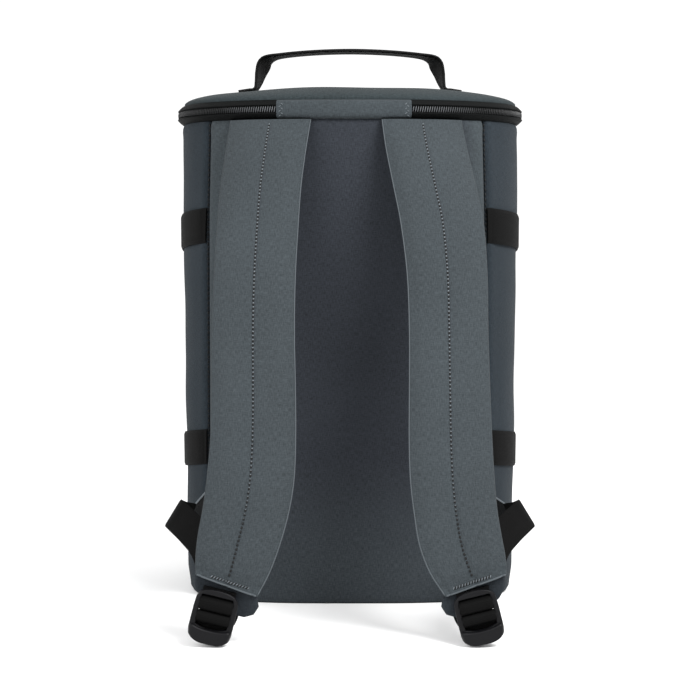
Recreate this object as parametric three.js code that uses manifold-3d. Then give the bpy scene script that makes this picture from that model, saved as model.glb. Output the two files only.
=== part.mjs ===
// A barrel-shaped cooler backpack: a padded body that opens under a domed lid, a zip round its rim,
// a grab handle, webbing round its sides and two padded shoulder straps with ladder locks.
// Millimetres, +Z up. The origin is on the floor under the middle of the body, and the straps face -Y.
import * as THREE from "three";
import { mergeVertices } from "three/addons/utils/BufferGeometryUtils.js";
import Module from "manifold-3d";

const wasm = await Module();
wasm.setup();

// Body
const bodyWidth = 254;
const bodyDepth = 180;
const bodyHeight = 353; // floor to the top edge of the walls
const wallThickness = 6;
const baseThickness = 5;
const baseRoll = 5; // how far the floor face lies inside the wall
const backPanelWidth = bodyWidth * 0.795; // between the two back seams
const fitGap = 0.3; // between pieces that touch
const facets = { whole: 56, back: 17, around: 39, zip: 48, strip: 11, webbing: 22 }; // round the body

// Zip band and hinge strip
const tapeHeight = 4.2;
const chainHeight = 4.4;
const bandStandOff = 4.1; // how far the tapes stand out from the wall
const chainStandOff = 4.8;
const stripLeft = 53; // from the middle of the back to the strip's left end
const stripRight = 43;
const sliderWidth = 9;
const sliderHeight = 7;
const sliderDepth = 3.6;
const pullWidth = 6;
const pullLength = 24;
const pullThickness = 1.6;
const pullLap = 2; // how far the pull reaches above the slider's middle

// Lid and handle
const lidRise = 13.2;
const lidThickness = 6;
const handleWidth = 25;
const handleThickness = 2.2;
const handleSpan = 142; // between the legs
const handleRise = 30; // above the crown of the lid
const handleFoot = 14; // length of each sewn foot
const handleTwist = 0.4; // turn of each leg, radians

// Webbing
const sideWebbingWidth = 26;
const sideWebbingThickness = 1.6;
const webbingClear = 0.5; // between webbing and the wall that it lies on
const webbingFromSeam = 1; // from the back seam to the webbing's end
const adjusterWidth = 22;
const adjusterThickness = 1.4;

// Shoulder straps
const strapReach = 122; // how far the lower end stands in front of the back panel
const strapPadding = 9;
const strapEdge = 3.2; // thickness at the bound edge
const strapCrown = 4; // power of the strap's crowned front: more is flatter
const endLayerThickness = 2.4;
const endLayerClear = 0.36; // between the strap's end and the layer behind it

// Ladder locks, which stand on their levers just clear of the floor
const lockWidth = 28.6;
const lockHeight = 35.6;
const lockFrame = 3.6; // thickness of the frame
const lockLever = 6.4; // thickness of the lever
const lockSlotWidth = 22.8;
const lockTilt = 0.245; // radians
const lockLift = 0.5; // lowest point above the floor
const lockFoot = 0.28; // share of lockWidth from its middle to its lowest point
const lockPlaces = { left: 0.706, right: 0.665 }; // their middles, shares of half the body's width

const halfWidth = bodyWidth / 2;
const halfDepth = bodyDepth / 2;
const bandHeight = 2 * tapeHeight + chainHeight + 4 * fitGap;
const lidBase = bodyHeight + bandHeight;

// Outline of the walls. Height is a share of bodyHeight, width and depth are shares of the body's,
// and squareness is the power of the oval: 2 is an ellipse, and more is squarer.
const wallSections = [
  { height: 0.014, width: 0.966, depth: 0.984, squareness: 3.3 },
  { height: 0.05, width: 0.98, depth: 0.994, squareness: 3.2 },
  { height: 0.2, width: 0.986, depth: 1.0, squareness: 3.0 },
  { height: 0.42, width: 0.992, depth: 1.0, squareness: 2.9 },
  { height: 0.65, width: 1.001, depth: 1.0, squareness: 2.7 },
  { height: 0.86, width: 1.006, depth: 0.998, squareness: 2.5 },
  { height: 1.0, width: 1.004, depth: 0.992, squareness: 2.4 },
];

// Rolled edge of the base: height is a share of baseThickness, inward a share of baseRoll.
const baseSections = [
  { height: 0, inward: 1 },
  { height: 0.35, inward: 0.35 },
  { height: 1, inward: 0 },
];

// Profiles of the zip and of the hinge strip. Out is a share of bandStandOff, or for the teeth of
// chainStandOff, and height a share of the piece's own height.
const tapeProfile = [
  { out: -0.35, height: 0 },
  { out: 0.2, height: 0 },
  { out: 0.75, height: 0.5 },
  { out: 1, height: 1 },
  { out: 0.5, height: 1 },
  { out: 0.3, height: 0.5 },
];
const chainProfile = [
  { out: 0.44, height: 0 },
  { out: 0.91, height: 0 },
  { out: 1, height: 0.25 },
  { out: 1, height: 0.75 },
  { out: 0.91, height: 1 },
  { out: 0.44, height: 1 },
];
const stripProfile = [
  { out: -0.35, height: 0 },
  { out: 0.2, height: 0 },
  { out: 0.8, height: 0.16 },
  { out: 0.8, height: 0.84 },
  { out: 0.2, height: 1 },
  { out: -0.35, height: 1 },
  { out: 0.3, height: 0.84 },
  { out: 0.3, height: 0.16 },
];

// Crown of the lid: reach is a share of the way from the middle to the rim, rise a share of lidRise.
const lidSections = [
  { reach: 1.0, rise: 0.0 },
  { reach: 0.985, rise: 0.18 },
  { reach: 0.955, rise: 0.34 },
  { reach: 0.91, rise: 0.47 },
  { reach: 0.84, rise: 0.61 },
  { reach: 0.72, rise: 0.76 },
  { reach: 0.55, rise: 0.9 },
  { reach: 0.3, rise: 0.99 },
  { reach: 0.0, rise: 1.0 },
];

// Handle's foot from its end inwards: past is a share of handleFoot outside the leg, lift a share of
// handleRise. Then its leg up to the middle: share is of the half span, twist of handleTwist.
const handleFeet = [
  { past: 1, lift: 0 },
  { past: 0.45, lift: 0.018 },
  { past: 0.125, lift: 0.035 },
];
const handleLegs = [
  { share: 0.99, rise: 0.22, twist: 0.35 },
  { share: 0.965, rise: 0.45, twist: 0.7 },
  { share: 0.925, rise: 0.68, twist: 1.0 },
  { share: 0.86, rise: 0.82, twist: 0.8 },
  { share: 0.72, rise: 0.9, twist: 0.25 },
  { share: 0.4, rise: 0.97, twist: 0 },
  { share: 0, rise: 1, twist: 0 },
];

// Places across a strap from its inner edge to its outer one.
const strapAcross = [0, 0.06, 0.2, 0.4, 0.6, 0.8, 0.94, 1];

// Shoulder straps from the rim down. Height is a share of bodyHeight, inner and outer are shares of
// half the body's width, stand is a share of strapReach, follow says how far the strap still lies
// round the body's curve, slant is the height of the outer edge over the inner one as a share of
// bodyHeight, and padding is a share of strapPadding.
const strapSections = {
  left: [
    { height: 0.999, inner: 0.222, outer: 0.684, stand: 0.0, follow: 1.0, slant: 0.0, padding: 0.6 },
    { height: 0.97, inner: 0.234, outer: 0.692, stand: 0.045, follow: 0.85, slant: 0.0, padding: 0.85 },
    { height: 0.93, inner: 0.25, outer: 0.702, stand: 0.105, follow: 0.6, slant: 0.0, padding: 1.0 },
    { height: 0.86, inner: 0.272, outer: 0.72, stand: 0.22, follow: 0.35, slant: 0.0, padding: 1.0 },
    { height: 0.785, inner: 0.284, outer: 0.729, stand: 0.335, follow: 0.2, slant: 0.0, padding: 1.0 },
    { height: 0.686, inner: 0.296, outer: 0.736, stand: 0.475, follow: 0.1, slant: 0.0, padding: 1.0 },
    { height: 0.581, inner: 0.298, outer: 0.737, stand: 0.6, follow: 0.05, slant: 0.0, padding: 1.0 },
    { height: 0.476, inner: 0.29, outer: 0.733, stand: 0.72, follow: 0.0, slant: 0.0, padding: 1.0 },
    { height: 0.382, inner: 0.286, outer: 0.733, stand: 0.815, follow: 0.0, slant: 0.0, padding: 1.0 },
    { height: 0.307, inner: 0.293, outer: 0.747, stand: 0.88, follow: 0.0, slant: 0.003, padding: 1.0 },
    { height: 0.247, inner: 0.321, outer: 0.767, stand: 0.92, follow: 0.0, slant: 0.008, padding: 1.0 },
    { height: 0.194, inner: 0.366, outer: 0.79, stand: 0.955, follow: 0.0, slant: 0.018, padding: 0.9 },
    { height: 0.15, inner: 0.418, outer: 0.8, stand: 0.98, follow: 0.0, slant: 0.03, padding: 0.75 },
    { height: 0.112, inner: 0.482, outer: 0.798, stand: 1.0, follow: 0.0, slant: 0.042, padding: 0.55 },
  ],
  right: [
    { height: 0.999, inner: 0.181, outer: 0.636, stand: 0.0, follow: 1.0, slant: 0.0, padding: 0.6 },
    { height: 0.97, inner: 0.19, outer: 0.646, stand: 0.045, follow: 0.85, slant: 0.0, padding: 0.85 },
    { height: 0.93, inner: 0.206, outer: 0.664, stand: 0.105, follow: 0.6, slant: 0.0, padding: 1.0 },
    { height: 0.86, inner: 0.242, outer: 0.7, stand: 0.22, follow: 0.35, slant: 0.0, padding: 1.0 },
    { height: 0.785, inner: 0.28, outer: 0.735, stand: 0.335, follow: 0.2, slant: 0.0, padding: 1.0 },
    { height: 0.686, inner: 0.31, outer: 0.744, stand: 0.475, follow: 0.1, slant: 0.0, padding: 1.0 },
    { height: 0.581, inner: 0.318, outer: 0.74, stand: 0.6, follow: 0.05, slant: 0.0, padding: 1.0 },
    { height: 0.476, inner: 0.315, outer: 0.741, stand: 0.72, follow: 0.0, slant: 0.0, padding: 1.0 },
    { height: 0.382, inner: 0.311, outer: 0.746, stand: 0.815, follow: 0.0, slant: 0.0, padding: 1.0 },
    { height: 0.307, inner: 0.316, outer: 0.754, stand: 0.88, follow: 0.0, slant: 0.003, padding: 1.0 },
    { height: 0.247, inner: 0.335, outer: 0.766, stand: 0.92, follow: 0.0, slant: 0.008, padding: 1.0 },
    { height: 0.194, inner: 0.362, outer: 0.786, stand: 0.955, follow: 0.0, slant: 0.018, padding: 0.9 },
    { height: 0.15, inner: 0.415, outer: 0.805, stand: 0.98, follow: 0.0, slant: 0.03, padding: 0.75 },
    { height: 0.112, inner: 0.495, outer: 0.81, stand: 1.0, follow: 0.0, slant: 0.042, padding: 0.55 },
  ],
};

// Outline of the strap's end layer under its last section: across is a share of half the body's
// width, height a share of bodyHeight, from the outer edge round the rounded end to the inner one.
const endLayerOutline = [
  { across: 0.806, height: 0.127 },
  { across: 0.806, height: 0.108 },
  { across: 0.775, height: 0.086 },
  { across: 0.72, height: 0.07 },
  { across: 0.62, height: 0.056 },
  { across: 0.55, height: 0.05 },
  { across: 0.5, height: 0.055 },
  { across: 0.474, height: 0.07 },
  { across: 0.482, height: 0.087 },
];

// Slots of a ladder lock from its rim down, with a bar between each two, and the outline of its
// lever. Heights are shares of half its height from its middle, across of half its width.
const lockSlots = [
  { bottom: 0.5, top: 0.76 },
  { bottom: 0.04, top: 0.35 },
  { bottom: -0.38, top: -0.12 },
];
const leverOutline = [
  { across: 0.0, height: -0.48 },
  { across: 0.5, height: -0.46 },
  { across: 0.98, height: -0.4 },
  { across: 1.0, height: -0.6 },
  { across: 0.9, height: -0.83 },
  { across: 0.55, height: -0.97 },
  { across: 0.0, height: -1.0 },
];

// Half outline of the lock, in the same shares.
const lockOutline = [
  { across: 0.0, height: 1.0 },
  { across: 0.45, height: 0.965 },
  { across: 0.8, height: 0.86 },
  { across: 0.96, height: 0.67 },
  { across: 1.0, height: 0.35 },
  { across: 1.01, height: 0.0 },
  { across: 1.01, height: -0.4 },
  { across: 1.0, height: -0.6 },
  { across: 0.9, height: -0.83 },
  { across: 0.55, height: -0.97 },
  { across: 0.0, height: -1.0 },
];

// Webbing that holds the lock to the strap: it comes down behind the rim, through the upper slot,
// round the upper bar and back up. Depth is a share of the frame's thickness, height of half the lock.
const lockLoopRoute = [
  { depth: 0.95, height: 1 },
  { depth: 0.95, height: 0.86 },
  { depth: 0.72, height: 0.72 },
  { depth: -0.1, height: 0.63 },
  { depth: -0.82, height: 0.54 },
  { depth: -0.92, height: 0.42 },
  { depth: -0.78, height: 0.3 },
  { depth: 0.0, height: 0.24 },
  { depth: 0.95, height: 0.32 },
  { depth: 1.5, height: 0.5 },
  { depth: 1.58, height: 0.84 },
  { depth: 1.58, height: 1 },
];

// End of the adjuster webbing: up through the lower slot, over the lower bar and back. Shift is how
// far it lies towards the middle of the back, as a share of half the lock's width.
const adjusterWrap = [
  { depth: 6.8, height: 0.12, shift: 0.3 },
  { depth: 3.6, height: -0.28, shift: 0.2 },
  { depth: 2.0, height: -0.43, shift: 0.0 },
  { depth: 1.05, height: -0.385, shift: 0.0 },
  { depth: 0.45, height: -0.285, shift: 0.0 },
  { depth: -0.15, height: -0.235, shift: 0.0 },
  { depth: -0.82, height: -0.15, shift: 0.0 },
  { depth: -0.92, height: -0.04, shift: 0.0 },
  { depth: -0.78, height: 0.08, shift: 0.0 },
  { depth: 0.0, height: 0.13, shift: 0.0 },
  { depth: 0.9, height: 0.06, shift: 0.0 },
  { depth: 1.1, height: -0.08, shift: 0.0 },
];

// Adjuster webbing from the side tab to the lock. Across is a share of half the body's width, forward
// a share of strapReach in front of the back panel, height a share of bodyHeight. Rise and depth give
// the direction of its width, for one part across.
const adjusterRoute = [
  { across: 0.926, forward: -0.03, height: 0.181, rise: 1.9, depth: 0.25 },
  { across: 0.962, forward: 0.1, height: 0.191, rise: 1.8, depth: 0.25 },
  { across: 0.983, forward: 0.22, height: 0.202, rise: 1.7, depth: 0.25 },
  { across: 0.98, forward: 0.315, height: 0.208, rise: 1.6, depth: 0.25 },
  { across: 0.935, forward: 0.4, height: 0.2, rise: 1.35, depth: 0.3 },
  { across: 0.86, forward: 0.52, height: 0.184, rise: 1.1, depth: 0.3 },
  { across: 0.775, forward: 0.66, height: 0.158, rise: 0.8, depth: 0.25 },
  { across: 0.705, forward: 0.79, height: 0.104, rise: 0.25, depth: 0.12 },
];

// Side tab: a flap sewn in the back seam, whose outer edge holds the adjuster webbing. Its seam runs
// between two heights, shares of bodyHeight.
const tabSeam = { bottom: 0.088, top: 0.226 };
const tabThickness = 2;
const tabFromSeam = 2; // from the back seam to the tab's edge

// Side webbing: its middle at the back seam and how far it falls on its way to the front.
const sideWebbings = {
  upper: { height: 0.784, fall: 0.037 },
  lower: { height: 0.321, fall: 0.055 },
};

// Finishes
const finishes = {
  bodyCloth: { color: 0x4a5560, roughness: 0.85 },
  backCloth: { color: 0x33383e, roughness: 0.85 },
  strapCloth: { color: 0x5a6165, roughness: 0.85 },
  webbing: { color: 0x202122, roughness: 0.7 },
  zipTape: { color: 0x1f2021, roughness: 0.75 },
  zipTeeth: { color: 0x262728, roughness: 0.45 },
  lockPlastic: { color: 0x2b2d30, roughness: 0.4 },
};

const backpack = new THREE.Group();

// Adds one named piece with its finish.
function addPiece(name, geometry, finish, parent = backpack) {
  const material = new THREE.MeshStandardMaterial({ metalness: 0, ...finishes[finish] });
  const mesh = new THREE.Mesh(geometry, material);
  mesh.name = name;
  parent.add(mesh);
  return mesh;
}

// A closed geometry from triangles given by their corner points. Flat slivers are left out.
function closedGeometry(triangles) {
  const solid = triangles.filter(([a, b, c]) => {
    const size = new THREE.Vector3().subVectors(b, a).cross(new THREE.Vector3().subVectors(c, a));
    return size.length() > 1e-7;
  });
  const volume = solid.reduce((sum, [a, b, c]) => sum + a.dot(b.clone().cross(c)), 0);
  const facing = volume < 0 ? solid.map(([a, b, c]) => [a, c, b]) : solid;
  const geometry = new THREE.BufferGeometry().setFromPoints(facing.flat());
  return mergeVertices(geometry, 1e-4);
}

function quad(a, b, c, d) {
  return [
    [a, b, c],
    [a, c, d],
  ];
}

// One solid between two matched sheets of points. With wraps, the last column joins the first.
function solidBetween(outer, inner, wraps = false) {
  const triangles = [];
  const rows = outer.length;
  const columns = outer[0].length;
  const lastColumn = wraps ? columns : columns - 1;
  for (let row = 0; row + 1 < rows; row += 1) {
    for (let column = 0; column < lastColumn; column += 1) {
      const next = (column + 1) % columns;
      const [o, i, oUp, iUp] = [outer[row], inner[row], outer[row + 1], inner[row + 1]];
      triangles.push(...quad(o[column], o[next], oUp[next], oUp[column]));
      triangles.push(...quad(i[next], i[column], iUp[column], iUp[next]));
    }
    if (wraps) continue;
    const end = columns - 1;
    triangles.push(...quad(inner[row][0], outer[row][0], outer[row + 1][0], inner[row + 1][0]));
    triangles.push(...quad(outer[row][end], inner[row][end], inner[row + 1][end], outer[row + 1][end]));
  }
  const top = rows - 1;
  for (let column = 0; column < lastColumn; column += 1) {
    const next = (column + 1) % columns;
    triangles.push(...quad(inner[0][column], inner[0][next], outer[0][next], outer[0][column]));
    triangles.push(...quad(outer[top][column], outer[top][next], inner[top][next], inner[top][column]));
  }
  return closedGeometry(triangles);
}

// A solid through matched rings of points, with flat ends cut as the profile's faces say.
function solidThrough(rings, endFaces) {
  const triangles = [];
  const count = rings[0].length;
  for (let step = 0; step + 1 < rings.length; step += 1) {
    for (let corner = 0; corner < count; corner += 1) {
      const next = (corner + 1) % count;
      const [here, there] = [rings[step], rings[step + 1]];
      triangles.push(...quad(here[corner], here[next], there[next], there[corner]));
    }
  }
  const last = rings[rings.length - 1];
  for (const [a, b, c] of endFaces) {
    triangles.push([rings[0][c], rings[0][b], rings[0][a]]);
    triangles.push([last[a], last[b], last[c]]);
  }
  return closedGeometry(triangles);
}

// Value of a table's column at a height, straight between its rows, which may run either way.
function between(table, key, value, column) {
  const rows = [...table].sort((a, b) => a[key] - b[key]);
  if (value <= rows[0][key]) return rows[0][column];
  for (let n = 1; n < rows.length; n += 1) {
    if (value > rows[n][key]) continue;
    const share = (value - rows[n - 1][key]) / (rows[n][key] - rows[n - 1][key]);
    return THREE.MathUtils.lerp(rows[n - 1][column], rows[n][column], share);
  }
  return rows[rows.length - 1][column];
}

// The wall's oval at a height.
function ovalAt(height) {
  const share = height / bodyHeight;
  return {
    across: halfWidth * between(wallSections, "height", share, "width"),
    deep: halfDepth * between(wallSections, "height", share, "depth"),
    power: between(wallSections, "height", share, "squareness"),
  };
}

// A point of the wall: angle runs from +X towards +Y, and out is measured square to the wall.
function wallPoint(angle, height, out = 0) {
  const { across, deep, power } = ovalAt(height);
  const [c, s] = [Math.cos(angle), Math.sin(angle)];
  const reach = (Math.abs(c / across) ** power + Math.abs(s / deep) ** power) ** (-1 / power);
  const [x, y] = [reach * c, reach * s];
  const normal = new THREE.Vector2(
    (Math.sign(x) * Math.abs(x / across) ** (power - 1)) / across,
    (Math.sign(y) * Math.abs(y / deep) ** (power - 1)) / deep,
  ).normalize();
  return new THREE.Vector3(x + normal.x * out, y + normal.y * out, height);
}

// How far the wall's back lies in front of the middle plane at a place across it.
function wallDepth(x, height) {
  const { across, deep, power } = ovalAt(height);
  return deep * (1 - Math.min(1, Math.abs(x / across)) ** power) ** (1 / power);
}

// The angle of the back of the wall at a place across it.
function backAngle(x, height) {
  return Math.atan2(-wallDepth(x, height), x);
}

function spread(from, to, steps) {
  return Array.from({ length: steps + 1 }, (_, n) => THREE.MathUtils.lerp(from, to, n / steps));
}

// Walls: one panel of cloth over foam, between two angles that depend on the height.
function wallPanel(startAngle, endAngle, steps) {
  const bottom = baseThickness + fitGap;
  const heights = [bottom, ...wallSections.map((row) => row.height * bodyHeight)]
    .filter((height) => height >= bottom)
    .sort((a, b) => a - b);
  const sheet = (out) =>
    heights.map((height) =>
      spread(startAngle(height), endAngle(height), steps).map((angle) => wallPoint(angle, height, out)),
    );
  return solidBetween(sheet(0), sheet(-wallThickness));
}

function buildBody() {
  const half = backPanelWidth / 2;
  const inset = fitGap / 2;
  const back = wallPanel(
    (height) => backAngle(-half + inset, height),
    (height) => backAngle(half - inset, height),
    facets.back,
  );
  addPiece("back_panel", back, "backCloth");
  const around = wallPanel(
    (height) => backAngle(half + inset, height),
    (height) => backAngle(-half - inset, height) + 2 * Math.PI,
    facets.around,
  );
  addPiece("side_and_front_panel", around, "bodyCloth");

  const angles = spread(0, 2 * Math.PI, facets.whole).slice(0, facets.whole);
  const rings = baseSections.map(({ height, inward }) =>
    angles.map((angle) => wallPoint(angle, baseThickness * height, -baseRoll * inward)),
  );
  const fan = angles.slice(2).map((_, n) => [0, n + 1, n + 2]);
  addPiece("base_panel", solidThrough(rings, fan), "bodyCloth");
}

// A profile swept round the rim, between two heights. Flipped, it stands on its head.
function rimSweep({ profile, standOff, bottom, top, flipped = false }, fromAngle, toAngle, steps) {
  const points = profile.map(({ out, height }) => {
    const share = flipped ? 1 - height : height;
    return new THREE.Vector2(out * standOff, THREE.MathUtils.lerp(bottom, top, share));
  });
  if (flipped) points.reverse();
  const rings = spread(fromAngle, toAngle, steps).map((angle) =>
    points.map((point) => wallPoint(angle, bodyHeight, point.x).setZ(point.y)),
  );
  return solidThrough(rings, THREE.ShapeUtils.triangulateShape(points, []));
}

// Zip: two cloth tapes that lean out from the wall and from the lid, and the teeth between them.
function buildZip() {
  const tapeBottom = bodyHeight + fitGap;
  const chainBottom = tapeBottom + tapeHeight + fitGap;
  const upperBottom = chainBottom + chainHeight + fitGap;
  const upperTop = upperBottom + tapeHeight;
  const lower = {
    profile: tapeProfile,
    standOff: bandStandOff,
    bottom: tapeBottom,
    top: tapeBottom + tapeHeight,
  };
  const chain = {
    profile: chainProfile,
    standOff: chainStandOff,
    bottom: chainBottom,
    top: chainBottom + chainHeight,
  };
  const upper = { ...lower, bottom: upperBottom, top: upperTop, flipped: true };
  const start = backAngle(stripRight + fitGap, bodyHeight);
  const end = backAngle(-stripLeft - fitGap, bodyHeight) + 2 * Math.PI;
  addPiece("zip_tape_lower", rimSweep(lower, start, end, facets.zip), "zipTape");
  addPiece("zip_chain", rimSweep(chain, start, end, facets.zip), "zipTeeth");
  addPiece("zip_tape_upper", rimSweep(upper, start, end, facets.zip), "zipTape");

  const strip = { profile: stripProfile, standOff: bandStandOff, bottom: tapeBottom, top: upperTop };
  const from = backAngle(-stripLeft + fitGap, bodyHeight);
  const to = backAngle(stripRight - fitGap, bodyHeight);
  addPiece("hinge_strip", rimSweep(strip, from, to, facets.strip), "strapCloth");
  buildSlider(chainBottom + chainHeight / 2);
}

// Slider with its pull, in one plain piece, at the middle of the front.
function buildSlider(height) {
  const front = wallPoint(Math.PI / 2, bodyHeight, chainStandOff + fitGap).y;
  const slider = new THREE.BoxGeometry(sliderWidth, sliderDepth, sliderHeight);
  slider.translate(0, front + sliderDepth / 2, height);
  const pull = new THREE.BoxGeometry(pullWidth, pullThickness, pullLength);
  const pullDepth = front + sliderDepth + pullThickness / 2 - fitGap;
  pull.translate(0, pullDepth, height - pullLength / 2 + pullLap);
  addPiece("zip_slider", joined([slider, pull]), "lockPlastic");
}

// Joins closed geometries into one.
function joined(geometries) {
  const solids = geometries.map((geometry) => {
    const bare = geometry.clone();
    bare.deleteAttribute("normal");
    bare.deleteAttribute("uv");
    const merged = mergeVertices(bare, 1e-4);
    return new wasm.Manifold(
      new wasm.Mesh({
        numProp: 3,
        vertProperties: merged.getAttribute("position").array,
        triVerts: new Uint32Array(merged.index.array),
      }),
    );
  });
  const mesh = solids.reduce((sum, solid) => sum.add(solid)).getMesh();
  const geometry = new THREE.BufferGeometry();
  geometry.setAttribute("position", new THREE.BufferAttribute(mesh.vertProperties, 3));
  geometry.setIndex(new THREE.BufferAttribute(mesh.triVerts, 1));
  return geometry;
}

// Lid: a padded crown whose rim stands on the upper zip tape.
function lidPoint(angle, reach, rise, inward) {
  const rim = wallPoint(angle, bodyHeight, -inward);
  return new THREE.Vector3(rim.x * reach, rim.y * reach, lidBase + rise);
}

// The top of the lid's outer face at a place across its middle.
function lidTop(x) {
  const reach = Math.abs(x) / wallPoint(0, bodyHeight).x;
  return lidBase + lidRise * between(lidSections, "reach", reach, "rise");
}

function buildLid() {
  const angles = spread(0, 2 * Math.PI, facets.whole).slice(0, facets.whole);
  const outer = lidSections.map(({ reach, rise }) =>
    angles.map((angle) => lidPoint(angle, reach, lidRise * rise, 0)),
  );
  const innerRise = lidRise - lidThickness;
  const inner = lidSections.map(({ reach, rise }) =>
    angles.map((angle) => lidPoint(angle, reach, innerRise * rise, lidThickness)),
  );
  addPiece("lid", solidBetween(outer, inner, true), "strapCloth");
}

// A flat band through stations, each with its place and the direction of its width.
function ribbon(stations, width, thickness) {
  const rings = stations.map(({ place, across }, n) => {
    const before = stations[Math.max(0, n - 1)].place;
    const after = stations[Math.min(stations.length - 1, n + 1)].place;
    const along = after.clone().sub(before).normalize();
    const side = across.clone().addScaledVector(along, -across.dot(along)).normalize();
    const face = along.clone().cross(side);
    const corner = (s, f) =>
      place.clone().addScaledVector(side, (s * width) / 2).addScaledVector(face, (f * thickness) / 2);
    return [corner(-1, -1), corner(1, -1), corner(1, 1), corner(-1, 1)];
  });
  const ends = [
    [0, 1, 2],
    [0, 2, 3],
  ];
  return solidThrough(rings, ends);
}

// Handle: webbing that lies on the lid at its two feet and stands up between them.
function buildHandle() {
  const leg = handleSpan / 2;
  const clear = fitGap + handleThickness / 2;
  const foot = handleFeet.map(({ past, lift }) => {
    const x = leg + handleFoot * past;
    return { x, z: lidTop(x) + clear + handleRise * lift, twist: 0 };
  });
  const crown = lidBase + lidRise;
  const rising = handleLegs.map(({ share, rise, twist }) => ({
    x: leg * share,
    z: crown + handleRise * rise,
    twist: twist * handleTwist,
  }));
  const half = [...foot, ...rising];
  const station = (side, { x, z, twist }) => ({
    place: new THREE.Vector3(side * x, 0, z),
    across: new THREE.Vector3(-side * Math.sin(twist), Math.cos(twist), 0),
  });
  const right = half.map((row) => station(1, row));
  const left = half.slice(0, -1).map((row) => station(-1, row));
  addPiece("handle", ribbon([...left, ...right.reverse()], handleWidth, handleThickness), "webbing");
}

// Side webbing lies round the wall from the back seam to the same place at the front.
function buildSideWebbing(side, level) {
  const { height, fall } = sideWebbings[level];
  const middle = height * bodyHeight;
  const start = backAngle(backPanelWidth / 2 + webbingFromSeam, middle);
  const steps = facets.webbing;
  const edge = (offset, out) =>
    spread(start, -start, steps).map((angle, n) => {
      const z = middle + offset * sideWebbingWidth - (fall * bodyHeight * n) / steps;
      const point = wallPoint(angle, z, out);
      point.x *= side;
      return point;
    });
  const outer = [-0.5, 0, 0.5].map((offset) => edge(offset, webbingClear + sideWebbingThickness));
  const inner = [-0.5, 0, 0.5].map((offset) => edge(offset, webbingClear));
  const name = `side_webbing_${level}_${side < 0 ? "left" : "right"}`;
  addPiece(name, solidBetween(outer, inner), "webbing");
}

// Shoulder strap: foam between two layers of cloth, thick in the middle and thin at its bound edges.
function strapFace(row, side, across) {
  const z = bodyHeight * (row.height + row.slant * (across - 0.5));
  const x = halfWidth * THREE.MathUtils.lerp(row.inner, row.outer, across);
  const deep = ovalAt(z).deep;
  const curve = (deep - wallDepth(x, z)) * row.follow;
  const back = -deep - fitGap - strapReach * row.stand + curve;
  const bulge = 1 - Math.abs(2 * across - 1) ** strapCrown;
  const full = Math.max(strapEdge, strapPadding * row.padding);
  const thick = strapEdge + (full - strapEdge) * bulge;
  return {
    front: new THREE.Vector3(side * x, back - thick, z),
    back: new THREE.Vector3(side * x, back, z),
  };
}

function buildStrap(name, side) {
  const faces = strapSections[name].map((row) => strapAcross.map((across) => strapFace(row, side, across)));
  const front = faces.map((row) => row.map((face) => face.front));
  const back = faces.map((row) => row.map((face) => face.back));
  addPiece(`strap_${name}`, solidBetween(front, back), "strapCloth");
}

// The strap's last section and the depth of its back there, where the end layer comes out.
function strapEnd(name) {
  const row = strapSections[name][strapSections[name].length - 1];
  return { back: strapFace(row, 1, 0.5).back.y, row };
}

function buildEndLayer(name, side) {
  const { back, row } = strapEnd(name);
  const below = endLayerClear / bodyHeight;
  const top = [
    { across: row.inner, height: row.height - row.slant / 2 - below },
    { across: row.outer, height: row.height + row.slant / 2 - below },
  ];
  const outline = [...top, ...endLayerOutline.filter(({ height }) => height < top[1].height)];
  const shape = new THREE.Shape(
    outline.map(({ across, height }) => new THREE.Vector2(side * across * halfWidth, height * bodyHeight)),
  );
  const layer = new THREE.ExtrudeGeometry(shape, { depth: endLayerThickness, bevelEnabled: false });
  layer.rotateX(Math.PI / 2);
  layer.translate(0, back, 0);
  addPiece(`strap_end_${name}`, layer, "strapCloth");
}

// Middle of a ladder lock, and the turn that tilts it.
function lockFrameOf(name, side) {
  const { back } = strapEnd(name);
  const reach = (lockHeight / 2) * Math.cos(lockTilt) + lockWidth * lockFoot * Math.sin(lockTilt);
  const loopBack = Math.max(...lockLoopRoute.map((row) => row.depth)) * lockFrame + adjusterThickness / 2;
  const place = new THREE.Vector3(
    side * halfWidth * lockPlaces[name],
    back - endLayerThickness - fitGap - loopBack,
    lockLift + reach,
  );
  return { place, tilt: -side * lockTilt };
}

// A point of a lock's own frame in the backpack's.
function inLock({ place, tilt }, across, depth, height) {
  return new THREE.Vector3(across, depth, height).applyAxisAngle(new THREE.Vector3(0, 1, 0), tilt).add(place);
}

function lockStation(frame, { depth, height, shift = 0 }) {
  const across = (frame.tilt > 0 ? 1 : -1) * shift * (lockWidth / 2);
  return {
    place: inLock(frame, across, depth * lockFrame, height * (lockHeight / 2)),
    across: new THREE.Vector3(1, 0, 0).applyAxisAngle(new THREE.Vector3(0, 1, 0), frame.tilt),
  };
}

// A plate from an outline with slots, with its face square to Y.
function plate(outline, slots, thickness, front) {
  const shape = new THREE.Shape(outline);
  const half = lockSlotWidth / 2;
  shape.holes = slots.map(({ bottom, top }) => {
    const [low, high] = [(bottom * lockHeight) / 2, (top * lockHeight) / 2];
    return new THREE.Path([
      new THREE.Vector2(-half, low),
      new THREE.Vector2(half, low),
      new THREE.Vector2(half, high),
      new THREE.Vector2(-half, high),
    ]);
  });
  const geometry = new THREE.ExtrudeGeometry(shape, { depth: thickness, bevelEnabled: false });
  geometry.rotateX(Math.PI / 2);
  geometry.translate(0, front + thickness, 0);
  return geometry;
}

function mirroredOutline(rows) {
  const point = (side) => (row) =>
    new THREE.Vector2((side * row.across * lockWidth) / 2, (row.height * lockHeight) / 2);
  const right = rows.map(point(1));
  const left = rows.filter((row) => row.across > 0).map(point(-1)).reverse();
  return [...right, ...left];
}

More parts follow.
